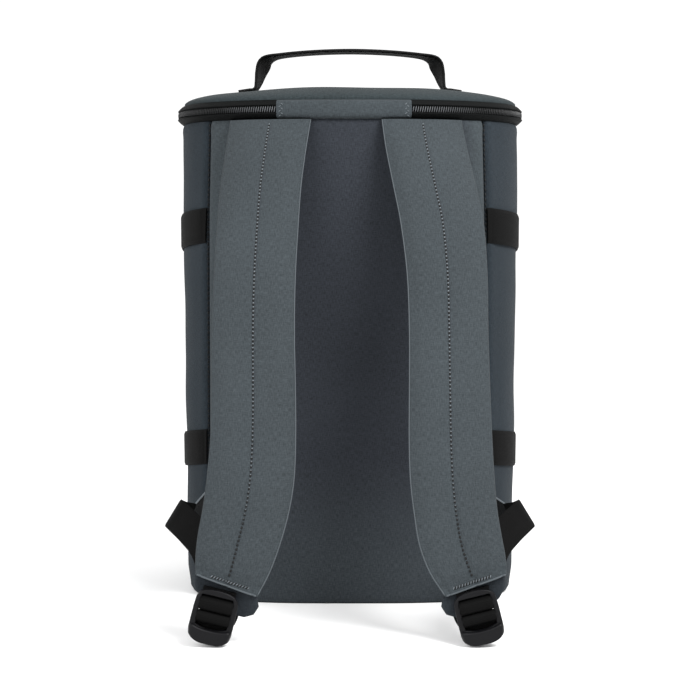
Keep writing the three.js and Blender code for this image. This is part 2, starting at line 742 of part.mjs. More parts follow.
function buildLock(name, side) {
  const frame = plate(mirroredOutline(lockOutline), lockSlots, lockFrame, -lockFrame / 2);
  const lever = plate(mirroredOutline(leverOutline), [], lockLever, lockFrame / 2 - lockLever);
  const { place, tilt } = lockFrameOf(name, side);
  const group = new THREE.Group();
  group.position.copy(place);
  group.rotation.y = tilt;
  backpack.add(group);
  addPiece(`ladder_lock_${name}`, joined([frame, lever]), "lockPlastic", group);
}

function buildLockWebbing(name, side) {
  const frame = lockFrameOf(name, side);
  const stations = lockLoopRoute.map((row) => lockStation(frame, row));
  addPiece(`lock_webbing_${name}`, ribbon(stations, adjusterWidth, adjusterThickness), "webbing");
}

// Stations of the adjuster webbing between the side tab and the lock.
function adjusterStations(side) {
  return adjusterRoute.map(({ across, forward, height, rise, depth }) => ({
    place: new THREE.Vector3(
      side * across * halfWidth,
      -halfDepth - forward * strapReach,
      height * bodyHeight,
    ),
    across: new THREE.Vector3(1, -side * depth, -side * rise),
  }));
}

function buildAdjuster(name, side) {
  const frame = lockFrameOf(name, side);
  const wrap = adjusterWrap.map((row) => lockStation(frame, row));
  const stations = [...adjusterStations(side), ...wrap];
  addPiece(`adjuster_webbing_${name}`, ribbon(stations, adjusterWidth, adjusterThickness), "webbing");
}

// Side tab: its long edge is sewn in the back seam and its short edge meets the adjuster webbing.
function buildSideTab(name, side) {
  const seam = backPanelWidth / 2 + tabFromSeam;
  const [first, second] = adjusterStations(side);
  const along = second.place.clone().sub(first.place).normalize();
  const edge = first.across.clone().addScaledVector(along, -first.across.dot(along)).normalize();
  const face = along.clone().cross(edge).multiplyScalar(side);
  const outer = (rise) =>
    first.place
      .clone()
      .addScaledVector(along, -webbingClear)
      .addScaledVector(edge, (-side * rise * adjusterWidth) / 2);
  const corners = [
    [tabSeam.bottom * bodyHeight, outer(-1)],
    [tabSeam.top * bodyHeight, outer(1)],
  ].map(([height, out]) => [
    new THREE.Vector3(side * seam, -wallDepth(seam, height) - webbingClear - tabThickness, height),
    out,
  ]);
  const sheet = (shift) =>
    corners.map((row) => row.map((point) => point.clone().addScaledVector(face, shift * tabThickness)));
  addPiece(`side_tab_${name}`, solidBetween(sheet(0.5), sheet(-0.5)), "strapCloth");
}

buildBody();
buildZip();
buildLid();
buildHandle();
for (const [name, side] of [["left", -1], ["right", 1]]) {
  buildSideWebbing(side, "upper");
  buildSideWebbing(side, "lower");
  buildStrap(name, side);
  buildEndLayer(name, side);
  buildLock(name, side);
  buildLockWebbing(name, side);
  buildAdjuster(name, side);
  buildSideTab(name, side);
}

export default backpack;
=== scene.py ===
"""Looks of the cooler backpack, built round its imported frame. Metres, +Z up, the straps face -Y."""

import math

import bmesh
import bpy
import numpy as np
from mathutils import Matrix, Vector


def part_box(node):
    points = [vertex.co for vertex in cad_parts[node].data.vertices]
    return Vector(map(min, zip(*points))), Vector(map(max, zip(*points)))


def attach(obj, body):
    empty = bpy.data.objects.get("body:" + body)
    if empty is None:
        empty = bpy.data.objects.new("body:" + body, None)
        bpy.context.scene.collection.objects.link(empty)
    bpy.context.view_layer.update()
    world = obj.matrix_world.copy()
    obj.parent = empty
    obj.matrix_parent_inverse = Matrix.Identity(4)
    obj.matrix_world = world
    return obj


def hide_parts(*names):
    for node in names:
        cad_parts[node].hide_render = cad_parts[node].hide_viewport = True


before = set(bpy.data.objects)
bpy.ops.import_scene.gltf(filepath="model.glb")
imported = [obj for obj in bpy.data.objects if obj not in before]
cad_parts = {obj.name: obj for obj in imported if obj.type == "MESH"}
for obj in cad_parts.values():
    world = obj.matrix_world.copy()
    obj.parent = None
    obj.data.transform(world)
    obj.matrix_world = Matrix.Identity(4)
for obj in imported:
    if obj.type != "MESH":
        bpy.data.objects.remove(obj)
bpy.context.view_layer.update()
scene = bpy.context.scene
mm = 0.001

# ------------------------------
# Camera, floor and light
# The bag stands on a white studio floor. The camera looks squarely at its back from 1.3 m, a
# little downwards. The room is bright and even, with a soft box on each side.
# ------------------------------


def linear(red, green, blue):
    """A colour as the eye reads it, 0 to 255, in the renderer's linear values."""
    shares = np.array([red, green, blue]) / 255
    return tuple(np.where(shares <= 0.04045, shares / 12.92, ((shares + 0.055) / 1.055) ** 2.4))


def new_object(name, data):
    made = bpy.data.objects.new(name, data)
    scene.collection.objects.link(made)
    return made


camera_distance = 1.347
camera_height = 0.2678
camera_dip = 3.7  # degrees below level
camera = new_object("camera", bpy.data.cameras.new("camera"))
camera.data.lens = 89.43
camera.data.sensor_width = 36
camera.location = (0, -camera_distance, camera_height)
camera.rotation_euler = (math.radians(90 - camera_dip), 0, 0)
scene.camera = camera
scene.view_settings.view_transform = "Standard"

room = bpy.data.worlds.new("studio")
room.use_nodes = True
room.node_tree.nodes["Background"].inputs["Color"].default_value = (1, 1, 1, 1)
room.node_tree.nodes["Background"].inputs["Strength"].default_value = 1.1
scene.world = room


def soft_box(name, place, aim, size, power):
    lamp = bpy.data.lights.new(name, "AREA")
    lamp.shape = "SQUARE"
    lamp.size = size
    lamp.energy = power
    holder = new_object(name, lamp)
    holder.location = place
    ahead = np.array(aim) - np.array(place)
    tip = math.atan2(math.hypot(ahead[0], ahead[1]), -ahead[2])
    holder.rotation_euler = (tip, 0, math.atan2(ahead[1], ahead[0]) - math.pi / 2)


soft_box("soft_box_right", (0.62, -0.78, 1.03), (0, -0.1, 0.27), 0.6, 23)
soft_box("soft_box_left", (-1.3, -1.5, 1.2), (0, 0, 0.25), 1.6, 30)

floor_finish = bpy.data.materials.new("studio_floor")
floor_finish.use_nodes = True
floor_shader = floor_finish.node_tree.nodes["Principled BSDF"]
floor_shader.inputs["Base Color"].default_value = (0.9, 0.9, 0.9, 1)
floor_shader.inputs["Roughness"].default_value = 0.9
floor_shader.inputs["Specular IOR Level"].default_value = 0.0
floor_side, floor_near, floor_far = 1.5, -1.6, 1.1
floor_ends = [(-floor_side, floor_near), (floor_side, floor_near)]
floor_ends += [(floor_side, floor_far), (-floor_side, floor_far)]
floor_mesh = bpy.data.meshes.new("floor")
floor_mesh.from_pydata([(x, y, 0) for x, y in floor_ends], [], [(0, 1, 2, 3)])
floor_mesh.materials.append(floor_finish)
floor = new_object("floor", floor_mesh)

# ------------------------------
# Walls
# Two padded panels, heathered polyester canvas over foam with a plain lining inside. The back
# panel meets the panel that wraps round the sides and the front in two seams sewn inside out, so
# the cloth rolls into each seam.
# ------------------------------
body_width = 254 * mm
body_depth = 180 * mm
body_height = 353 * mm
wall_thickness = 6 * mm
base_thickness = 5 * mm
base_roll = 2.6 * mm
fit_gap = 0.3 * mm
half_width = body_width / 2
half_depth = body_depth / 2


seam_left, seam_left_lean = 105.2 * mm, 1.6 * mm
seam_right, seam_right_lean = 100.2 * mm, 1.8 * mm


def seam_across(side, height):
    """How far each back seam lies from the middle: both lean in a little near the rim."""
    lean = np.clip((np.asarray(height) / body_height - 0.8) / 0.2, 0, 1)
    if side < 0:
        return seam_left - seam_left_lean * lean
    return seam_right - seam_right_lean * lean


wall_heights = [0.014, 0.05, 0.2, 0.42, 0.65, 0.86, 1.0]
wall_widths = [0.966, 0.98, 0.986, 0.992, 1.001, 1.006, 1.004]
wall_depths = [0.984, 0.994, 1.0, 1.0, 1.0, 0.998, 0.992]
wall_squareness = [3.3, 3.2, 3.0, 2.9, 2.7, 2.5, 2.4]


def oval(height):
    """Half width, half depth and squareness of the wall's oval at each height."""
    share = np.asarray(height) / body_height
    across = half_width * np.interp(share, wall_heights, wall_widths)
    deep = half_depth * np.interp(share, wall_heights, wall_depths)
    return across, deep, np.interp(share, wall_heights, wall_squareness)


def wall(angle, height, out=0.0):
    """Points of the wall, out measured square to it."""
    across, deep, power = oval(height)
    c, s = np.cos(angle), np.sin(angle)
    reach = (np.abs(c / across) ** power + np.abs(s / deep) ** power) ** (-1 / power)
    x, y = reach * c, reach * s
    lean = np.sign(x) * np.abs(x / across) ** (power - 1) / across
    face = np.sign(y) * np.abs(y / deep) ** (power - 1) / deep
    size = np.hypot(lean, face)
    return np.stack([x + lean / size * out, y + face / size * out, x * 0 + height], -1)


def wall_depth(x, height):
    across, deep, power = oval(height)
    return deep * (1 - np.minimum(1, np.abs(x / across)) ** power) ** (1 / power)


def back_angle(x, height):
    return np.arctan2(-wall_depth(x, height), x)


def lengths_along(points):
    """Distance of each point of a path from its start."""
    steps = np.linalg.norm(np.diff(points, axis=0), axis=-1)
    return np.concatenate([[0], np.cumsum(steps)])


fine_steps = 600


def even_angles(start, end, height, count):
    """Angles from start to end that are equal steps along the wall."""
    angles = np.linspace(start, end, fine_steps)
    path = lengths_along(wall(angles, height))
    return np.interp(np.linspace(0, path[-1], count), path, angles)


swells = 7


def unevenness(u, v, size, seed):
    """Gentle rise and fall of cloth, from -1 to 1, with swells about as long as size."""
    chance = np.random.default_rng(seed)
    total = 0
    for _ in range(swells):
        turn, phase = chance.uniform(0, 2 * math.pi, 2)
        pace = 2 * math.pi / (size * chance.uniform(0.7, 1.6))
        total = total + np.sin(pace * (u * math.cos(turn) + v * math.sin(turn)) + phase)
    return total / (swells / 2)


def add_mesh(name, points, faces, uvs, finish, sharp=50):
    """A smooth mesh object with a weave map in metres and its finish."""
    mesh = bpy.data.meshes.new(name)
    mesh.from_pydata([tuple(p) for p in points], [], faces)
    mesh.validate()
    mesh.shade_smooth()
    mesh.set_sharp_from_angle(angle=math.radians(sharp))
    weave = mesh.uv_layers.new(name="weave")
    corners = np.zeros(len(mesh.loops), np.int32)
    mesh.loops.foreach_get("vertex_index", corners)
    weave.data.foreach_set("uv", np.asarray(uvs, float)[corners].ravel())
    mesh.materials.append(finish)
    return new_object(name, mesh)


def grid_faces(rows, columns, first=0, wraps=False, turned=False):
    last = columns if wraps else columns - 1
    faces = []
    for row in range(rows - 1):
        for column in range(last):
            here = first + row * columns + column
            beside = first + row * columns + (column + 1) % columns
            face = (here, beside, beside + columns, here + columns)
            faces.append(face[::-1] if turned else face)
    return faces


def rim_faces(rows, columns, wraps=False):
    """Faces that close the edge between an outer grid and the inner grid after it."""
    inner = rows * columns
    faces = []
    last = columns if wraps else columns - 1
    for column in range(last):
        beside = (column + 1) % columns
        top = (rows - 1) * columns
        faces.append((beside, column, inner + column, inner + beside))
        faces.append((top + column, top + beside, inner + top + beside, inner + top + column))
    if not wraps:
        for row in range(rows - 1):
            here, above = row * columns, (row + 1) * columns
            end, end_above = here + columns - 1, above + columns - 1
            faces.append((here, above, inner + above, inner + here))
            faces.append((end_above, end, inner + end, inner + end_above))
    return faces


def shell(name, outer, inner, uvs, finish, wraps=False, sharp=50):
    """A closed piece between two matched grids of points."""
    rows, columns = outer.shape[:2]
    points = np.concatenate([outer.reshape(-1, 3), inner.reshape(-1, 3)])
    faces = grid_faces(rows, columns, 0, wraps)
    faces += grid_faces(rows, columns, rows * columns, wraps, turned=True)
    faces += rim_faces(rows, columns, wraps)
    flat = uvs.reshape(-1, 2)
    piece = add_mesh(name, points, faces, np.concatenate([flat, flat]), finish, sharp)
    face_outwards(piece)
    return piece


def face_outwards(piece):
    """Turns a closed mesh inside out where its volume is negative."""
    mesh = piece.data
    mesh.calc_loop_triangles()
    count = len(mesh.loop_triangles)
    corners = np.zeros(count * 3, np.int32)
    mesh.loop_triangles.foreach_get("vertices", corners)
    points = np.zeros(len(mesh.vertices) * 3)
    mesh.vertices.foreach_get("co", points)
    a, b, c = points.reshape(-1, 3)[corners.reshape(-1, 3)].transpose(1, 0, 2)
    if np.sum(a * np.cross(b, c)) < 0:
        mesh.flip_normals()


class Shader:
    """Node by node writing of one finish."""

    def __init__(self, name):
        self.material = bpy.data.materials.new(name)
        self.material.use_nodes = True
        self.tree = self.material.node_tree
        self.surface = self.tree.nodes["Principled BSDF"]

    def put(self, socket, value):
        if isinstance(value, bpy.types.NodeSocket):
            self.tree.links.new(value, socket)
        else:
            socket.default_value = value

    def add(self, kind, inputs):
        """A new node with its inputs set or linked."""
        node = self.tree.nodes.new(kind)
        for label, value in inputs.items():
            self.put(node.inputs[label], value)
        return node

    def math(self, operation, *values):
        node = self.add("ShaderNodeMath", dict(enumerate(values)))
        node.operation = operation
        return node.outputs[0]

    def plus(self, first, second):
        return self.math("ADD", first, second)

    def minus(self, first, second):
        return self.math("SUBTRACT", first, second)

    def times(self, first, second):
        return self.math("MULTIPLY", first, second)

    def ribs(self, value, pitch=1.0):
        """Rounded ribs from 0 to 1, one to each pitch."""
        return self.math("ABSOLUTE", self.math("SINE", self.times(value, math.pi / pitch)))

    def scaled(self, vector, scale):
        return self.add("ShaderNodeMapping", {"Vector": vector, "Scale": scale}).outputs[0]

    def weave_map(self):
        node = self.tree.nodes.new("ShaderNodeUVMap")
        node.uv_map = "weave"
        return node.outputs[0]

    def place(self):
        return self.tree.nodes.new("ShaderNodeTexCoord").outputs["Object"]

    def noise(self, vector, scale, detail=2.0):
        inputs = {"Vector": vector, "Scale": scale, "Detail": detail}
        return self.add("ShaderNodeTexNoise", inputs).outputs[0]

    def parts(self, vector):
        return self.add("ShaderNodeSeparateXYZ", {0: vector}).outputs[:3]

    def blend(self, share, dark, light):
        node = self.tree.nodes.new("ShaderNodeMix")
        node.data_type = "RGBA"
        self.put(node.inputs[0], share)
        self.put(node.inputs[6], (*dark, 1) if isinstance(dark, tuple) else dark)
        self.put(node.inputs[7], (*light, 1) if isinstance(light, tuple) else light)
        return node.outputs[2]

    def ranged(self, value, low, high):
        return self.add("ShaderNodeMapRange", {0: value, 3: low, 4: high}).outputs[0]

    def relief(self, height, depth):
        inputs = {"Strength": 1.0, "Distance": depth, "Height": height}
        bump = self.add("ShaderNodeBump", inputs).outputs[0]
        self.put(self.surface.inputs["Normal"], bump)

    def look(self, colour, roughness, gloss):
        self.put(self.surface.inputs["Base Color"], colour)
        self.put(self.surface.inputs["Roughness"], roughness)
        self.surface.inputs["Specular IOR Level"].default_value = gloss


def tones(colour, less, more):
    """A darker and a lighter tone of a colour."""
    return tuple(c * less for c in colour), tuple(c * more for c in colour)


canvas_thread = 0.62 * mm
canvas_relief = 0.08 * mm
canvas_contrast = 0.38
# Painted light on the back canvas: from these places sideways and downwards the colour is lifted, which
# leaves painted shade of the straps in the middle of the back.
painted_light_from, painted_light_over = 76 * mm, 16 * mm  # sideways from the middle
painted_light_top, painted_light_drop = 105 * mm, 75 * mm  # downwards


def canvas_cloth(name, colour, painted_light_gain=None):
    """Heathered plain-weave canvas: threads over and under, slubs along the warp, a faint broad tone, and
    painted shade between the raised threads. Given gains, it also paints shade in the middle of the back
    and lifts the colour towards the sides and the bottom.
    """
    cloth = Shader(name)
    weave = cloth.weave_map()
    threads = cloth.scaled(weave, (1 / canvas_thread, 1 / canvas_thread, 1))
    across, along, _ = cloth.parts(threads)
    warp_on_top = cloth.add("ShaderNodeTexChecker", {"Vector": threads, "Scale": 1}).outputs["Fac"]
    over = cloth.times(cloth.ribs(across), warp_on_top)
    under = cloth.times(cloth.ribs(along), cloth.minus(1.0, warp_on_top))
    height = cloth.plus(over, under)
    slub = cloth.noise(cloth.scaled(weave, (1900, 300, 1)), 1.0)
    fleck = cloth.noise(cloth.scaled(weave, (300, 1900, 1)), 1.0)
    broad = cloth.noise(cloth.place(), 14, 3.0)
    share = cloth.plus(cloth.times(slub, 0.9), cloth.times(fleck, 0.7))
    # Painted shade: the weave's height darkens the colour between the raised threads.
    share = cloth.plus(share, cloth.times(height, 0.16))
    share = cloth.plus(share, cloth.times(broad, 0.25))
    share = cloth.ranged(cloth.times(cloth.minus(share, 0.76), 1.9), 0, 1)
    dark, light = tones(colour, 1 - canvas_contrast, 1 + canvas_contrast)
    shade = cloth.blend(share, dark, light)
    # Painted shade of the straps: the middle of the back keeps the dark colour, and painted light lightens
    # it towards the seams and the bottom.
    if painted_light_gain:
        x, _, z = cloth.parts(cloth.place())
        beside = cloth.times(cloth.minus(cloth.math("ABSOLUTE", x), painted_light_from), 1 / painted_light_over)
        below = cloth.times(cloth.minus(painted_light_top, z), 1 / painted_light_drop)
        painted_light_share = cloth.math("MAXIMUM", cloth.ranged(beside, 0, 1), cloth.ranged(below, 0, 0.6))
        painted_lit_tone = cloth.blend(share, tuple(np.multiply(dark, painted_light_gain)), tuple(np.multiply(light, painted_light_gain)))
        shade = cloth.blend(painted_light_share, shade, painted_lit_tone)
    cloth.look(shade, cloth.ranged(slub, 0.75, 0.95), 0.08)
    cloth.surface.inputs["Sheen Weight"].default_value = 0.03
    cloth.surface.inputs["Sheen Roughness"].default_value = 0.5
    cloth.relief(cloth.plus(height, cloth.times(slub, 0.8)), canvas_relief)
    return cloth.material


def edge_roll(distance, depth=2.3 * mm, swell=0.5 * mm, width=5.5 * mm):
    """How cloth drops into a seam: in at the seam itself, and a little proud beside it."""
    drop = -depth * np.exp(-((distance / (0.28 * width)) ** 2))
    return drop + swell * np.exp(-(((distance - width) / (0.7 * width)) ** 2))


body_canvas = canvas_cloth("body_canvas", linear(32, 38, 43))
# The back's canvas is dark in its middle as painted shade of the straps, and painted light lifts it
# towards the seams and the bottom. The base shares it and gets the lift too.
back_canvas = canvas_cloth("back_canvas", linear(37, 40, 45), painted_light_gain=(1.8, 1.9, 1.7))
wall_bottom = 0.8 * mm
wall_rows = 130
seam_inset = fit_gap / 2


def seam_angle(side, z, past):
    """Angle of the wall at a back seam, or a little past it."""
    return back_angle(side * (seam_across(side, z) + past), z)


def wall_panel(name, start, end, columns, finish, seed):
    """A padded wall panel between two seams, from the rim nearly to the floor, tucked in there."""
    heights = wall_bottom + (body_height - wall_bottom) * np.linspace(0, 1, wall_rows)
    middle = body_height / 2
    spread = even_angles(start(middle), end(middle), middle, columns)
    share = (spread - spread[0]) / (spread[-1] - spread[0])
    z = heights[:, None] + 0 * share[None, :]
    angle = start(z) + (end(z) - start(z)) * share[None, :]
    round_wall = lengths_along(wall(spread, middle))
    u = round_wall[None, :] + 0 * z
    from_seam = np.minimum(u, round_wall[-1] - u)
    out = edge_roll(from_seam)
    out += edge_roll(body_height - z, depth=0.8 * mm, swell=0.4 * mm, width=5 * mm)
    out -= 1.6 * mm * np.exp(-(((z - wall_bottom) / (1.3 * mm)) ** 2))
    hold = np.clip(np.minimum(from_seam, np.minimum(body_height - z, z)) / (20 * mm), 0, 1)
    out += 0.55 * mm * hold * unevenness(u, z, 110 * mm, seed)
    out += 0.18 * mm * hold * unevenness(u, z, 38 * mm, seed + 1)
    uvs = np.stack([u, z], -1)
    piece = shell(name, wall(angle, z, out), wall(angle, z, -wall_thickness), uvs, finish)
    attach(piece, "root")
    return piece


back_panel = wall_panel(
    "back_canvas_panel",
    lambda z: seam_angle(-1, z, -seam_inset),
    lambda z: seam_angle(1, z, -seam_inset),
    84,
    back_canvas,
    11,
)
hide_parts("back_panel")

wrap_panel = wall_panel(
    "side_and_front_canvas_panel",
    lambda z: seam_angle(1, z, seam_inset),
    lambda z: seam_angle(-1, z, seam_inset) + 2 * math.pi,
    190,
    body_canvas,
    23,
)
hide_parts("side_and_front_panel")

# ------------------------------
# Back seams
# Each back seam is topstitched close to its edge. The black thread sinks into the cloth and shows as a row
# of small dark dents, drawn near-black as the thread's colour together with painted shade in the dents.
# ------------------------------
row_sizes = ("Spacing", "Along", "Deep", "Across", "Slant")
row_tree = bpy.data.node_groups.new("row along a path", "GeometryNodeTree")
row_tree.interface.new_socket("Path", in_out="INPUT", socket_type="NodeSocketGeometry")
for label in row_sizes:
    row_tree.interface.new_socket(label, in_out="INPUT", socket_type="NodeSocketFloat")
row_tree.interface.new_socket("Finish", in_out="INPUT", socket_type="NodeSocketMaterial")
row_tree.interface.new_socket("Row", in_out="OUTPUT", socket_type="NodeSocketGeometry")
new_node = row_tree.nodes.new
row_inputs = new_node("NodeGroupInput")
to_curve = new_node("GeometryNodeMeshToCurve")
to_points = new_node("GeometryNodeCurveToPoints")
to_points.mode = "LENGTH"
lengthwise = new_node("FunctionNodeAlignRotationToVector")
lengthwise.axis = "X"
slant_turn = new_node("ShaderNodeCombineXYZ")
slant_way = new_node("FunctionNodeEulerToRotation")
slanted = new_node("FunctionNodeRotateRotation")
slanted.rotation_space = "LOCAL"
bead = new_node("GeometryNodeMeshUVSphere")
bead.inputs["Segments"].default_value = 6
bead.inputs["Rings"].default_value = 4
bead.inputs["Radius"].default_value = 0.5
bead_size = new_node("ShaderNodeCombineXYZ")
smooth = new_node("GeometryNodeSetShadeSmooth")
along_path = new_node("GeometryNodeInstanceOnPoints")
real = new_node("GeometryNodeRealizeInstances")
finished = new_node("GeometryNodeSetMaterial")
row_output = new_node("NodeGroupOutput")
for source, output, target, entry in (
    (row_inputs, "Path", to_curve, "Mesh"),
    (to_curve, "Curve", to_points, "Curve"),
    (row_inputs, "Spacing", to_points, "Length"),
    (to_points, "Points", along_path, "Points"),
    (to_points, "Tangent", lengthwise, "Vector"),
    (lengthwise, "Rotation", slanted, "Rotation"),
    (row_inputs, "Slant", slant_turn, "Y"),
    (slant_turn, "Vector", slant_way, "Euler"),
    (slant_way, "Rotation", slanted, "Rotate By"),
    (slanted, "Rotation", along_path, "Rotation"),
    (bead, "Mesh", smooth, "Geometry"),
    (smooth, "Geometry", along_path, "Instance"),
    (row_inputs, "Along", bead_size, "X"),
    (row_inputs, "Deep", bead_size, "Y"),
    (row_inputs, "Across", bead_size, "Z"),
    (bead_size, "Vector", along_path, "Scale"),
    (along_path, "Instances", real, "Geometry"),
    (real, "Geometry", finished, "Geometry"),
    (row_inputs, "Finish", finished, "Material"),
    (finished, "Geometry", row_output, "Row"),
):
    row_tree.links.new(source.outputs[output], target.inputs[entry])


def settled(holder):
    """The mesh that a curve or an object with modifiers gives. The object goes."""
    bpy.context.view_layer.update()
    graph = bpy.context.evaluated_depsgraph_get()
    mesh = bpy.data.meshes.new_from_object(holder.evaluated_get(graph))
    bpy.data.objects.remove(holder)
    return mesh


def run_along(name, paths, spacing, along, deep, across, finish, slant=0.0):
    """Small rounded shapes at even steps along paths, as one mesh: stitches, holes or teeth."""
    edges, first = [], 0
    for path in paths:
        edges += [(first + n, first + n + 1) for n in range(len(path) - 1)]
        first += len(path)
    mesh = bpy.data.meshes.new(name + "_path")
    mesh.from_pydata([tuple(p) for p in np.concatenate(paths)], edges, [])
    holder = new_object(name + "_path", mesh)
    row = holder.modifiers.new("row", "NODES")
    row.node_group = row_tree
    values = dict(zip((*row_sizes, "Finish"), (spacing, along, deep, across, slant, finish)))
    for socket in row_tree.interface.items_tree:
        if socket.name in values:
            row[socket.identifier] = values[socket.name]
    baked = settled(holder)
    baked.name = name
    piece = new_object(name, baked)
    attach(piece, "root")
    return piece


def thread_finish(name, colour):
    """Twisted sewing thread with a faint ply and a soft gloss. The same finish, near-black, paints shade
    in needle holes and dents, and in a lighter tone paints highlight along turned edges.
    """
    thread = Shader(name)
    ply = thread.noise(thread.place(), 2600, 1.0)
    thread.look(thread.blend(ply, *tones(colour, 0.75, 1)), thread.ranged(ply, 0.5, 0.7), 0.25)
    thread.relief(ply, 0.06 * mm)
    return thread.material


dark_thread = thread_finish("dark_thread", linear(14, 15, 16))
grey_thread = thread_finish("grey_thread", linear(92, 98, 102))
# Painted shade: near-black marks stand in for the shade in needle holes and dents.
needle_hole_painted_shade = thread_finish("needle_hole_painted_shade", linear(10, 11, 12))

seam_heights = np.linspace(base_thickness + 4 * mm, body_height - 3 * mm, 90)
seam_paths = []
for side in (-1, 1):
    seam_paths.append(wall(seam_angle(side, seam_heights, 0.5 * mm), seam_heights, -1.5 * mm))
seam_stitches = run_along(
    "back_seam_stitches", seam_paths, 3.6 * mm, 2.9 * mm, 1.2 * mm, 1.3 * mm, needle_hole_painted_shade
)

# ------------------------------
# Base
# A padded panel of the back's canvas. Its edge rolls up behind the lower edge of the walls, and it
# is what the bag stands on.
# ------------------------------
base_tuck = 1.2 * mm  # how far the base's edge lies behind the walls
base_reach = np.array([0.0, 0.12, 0.3, 0.5, 0.7, 0.85, 0.94, 1.0])
base_turn = np.linspace(0, math.pi / 2, 9)[1:]
round_angles = even_angles(0, 2 * math.pi, base_thickness, 201)[:-1]
base_outer, base_inner = [], []
for reach in base_reach:
    ring = wall(round_angles, 0 * round_angles, -base_roll) * [reach, reach, 0]
    base_outer.append(ring)
    base_inner.append(ring * [0.99, 0.99, 0] + [0, 0, base_thickness - 0.4 * mm])
for turn in base_turn:
    out = -base_roll * (1 - math.sin(turn)) - base_tuck
    lift = base_thickness * (1 - math.cos(turn))
    ring = wall(round_angles, 0 * round_angles + base_thickness, out)
    inner = wall(round_angles, 0 * round_angles + base_thickness, -base_roll * 0.6)
    base_outer.append(ring * [1, 1, 0] + [0, 0, lift])
    base_inner.append(inner * [1, 1, 0] + [0, 0, base_thickness - 0.2 * mm])
base_outer, base_inner = np.array(base_outer), np.array(base_inner)
base = shell("base_canvas", base_outer, base_inner, base_outer[..., :2], back_canvas, wraps=True)


def close_poles(piece):
    """Joins points that fall together, such as at the middle of a round panel."""
    work = bmesh.new()
    work.from_mesh(piece.data)
    bmesh.ops.remove_doubles(work, verts=work.verts, dist=1e-6)
    work.to_mesh(piece.data)
    work.free()


close_poles(base)
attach(base, "root")
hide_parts("base_panel")

# ------------------------------
# Zip
# A coil zip runs round the rim from one end of the hinge strip to the other. Each black tape is
# sewn to its edge, leans out over it and then stands up to the coil, where the teeth of both
# tapes lock.
# ------------------------------
tape_height = 4.2 * mm
chain_height = 4.4 * mm
strip_left = 51.6 * mm
strip_right = 43 * mm
tape_bottom = body_height + fit_gap
chain_bottom = tape_bottom + tape_height + fit_gap
upper_bottom = chain_bottom + chain_height + fit_gap
upper_top = upper_bottom + tape_height
band_height = 2 * tape_height + chain_height + 4 * fit_gap
lid_base = body_height + band_height
chain_middle = chain_bottom + chain_height / 2


def between(a, b, c, d, t):
    """Points from b to c of a smooth curve through a, b, c and d."""
    bend = (2 * a - 5 * b + 4 * c - d) * t**2
    return 0.5 * (2 * b + (c - a) * t + bend + (3 * b - a - 3 * c + d) * t**3)


def spaced(points, count):
    """Points at equal steps along a line."""
    points = np.asarray(points, float)
    path = lengths_along(points)
    places = np.linspace(0, path[-1], count)
    return np.stack([np.interp(places, path, points[:, k]) for k in range(points.shape[1])], -1)


def smooth_path(points, step):
    """A smooth line through points, with about equal steps."""
    points = np.asarray(points, float)
    longer = np.concatenate([[2 * points[0] - points[1]], points, [2 * points[-1] - points[-2]]])
    t = np.linspace(0, 1, 24, endpoint=False)[:, None]
    fine = [between(*longer[n : n + 4], t) for n in range(len(points) - 1)]
    fine = np.concatenate(fine + [points[-1:]])
    return spaced(fine, max(2, int(round(lengths_along(fine)[-1] / step)) + 1))


def rim_band(name, profile, thickness, start, end, step, finish, seed):
    """A strip of cloth swept round the rim. Its profile is a line of (out, height) points."""
    line = smooth_path(profile, 0.8 * mm)
    along = np.gradient(line, axis=0)
    normal = np.stack([along[:, 1], -along[:, 0]], -1)
    normal /= np.linalg.norm(normal, axis=-1, keepdims=True)
    length = lengths_along(wall(np.linspace(start, end, fine_steps), body_height))[-1]
    angles = even_angles(start, end, body_height, int(length / step))
    uvs = np.stack(np.meshgrid(np.linspace(0, length, len(angles)), lengths_along(line)), -1)
    sag = 0.2 * mm * unevenness(uvs[..., 0], uvs[..., 1], 60 * mm, seed)

    def swept(section):
        out = section[:, :1] + 0 * angles[None, :]
        points = wall(angles[None, :] + 0 * out, body_height, out + sag)
        points[..., 2] = section[:, 1:]
        return points

    return shell(name, swept(line), swept(line - normal * thickness), uvs, finish)


def ribbed_tape(name, colour, pitch, gloss, chevron=0.0, relief=0.12 * mm):
    """Narrow woven tape: ribs across it and finer ends along it, with painted highlight on the ribs and
    painted shade between them.
    """
    tape = Shader(name)
    weave = tape.weave_map()
    across, along, _ = tape.parts(weave)
    if chevron:
        along = tape.plus(along, tape.times(tape.math("PINGPONG", across, 1.5 * mm), chevron))
    fibre = tape.noise(tape.scaled(weave, (2200, 900, 1)), 1.0, 3.0)
    height = tape.plus(tape.ribs(along, pitch), tape.times(tape.ribs(across, 0.55 * pitch), 0.35))
    # Painted light and shade: the ribs' height lightens their crests and darkens the hollows between them.
    share = tape.plus(tape.times(height, 0.45), tape.times(fibre, 0.5))
    tape.look(tape.blend(share, *tones(colour, 0.55, 1.45)), tape.ranged(fibre, 0.5, 0.75), gloss)
    tape.relief(tape.plus(height, tape.times(fibre, 0.4)), relief)
    return tape.material


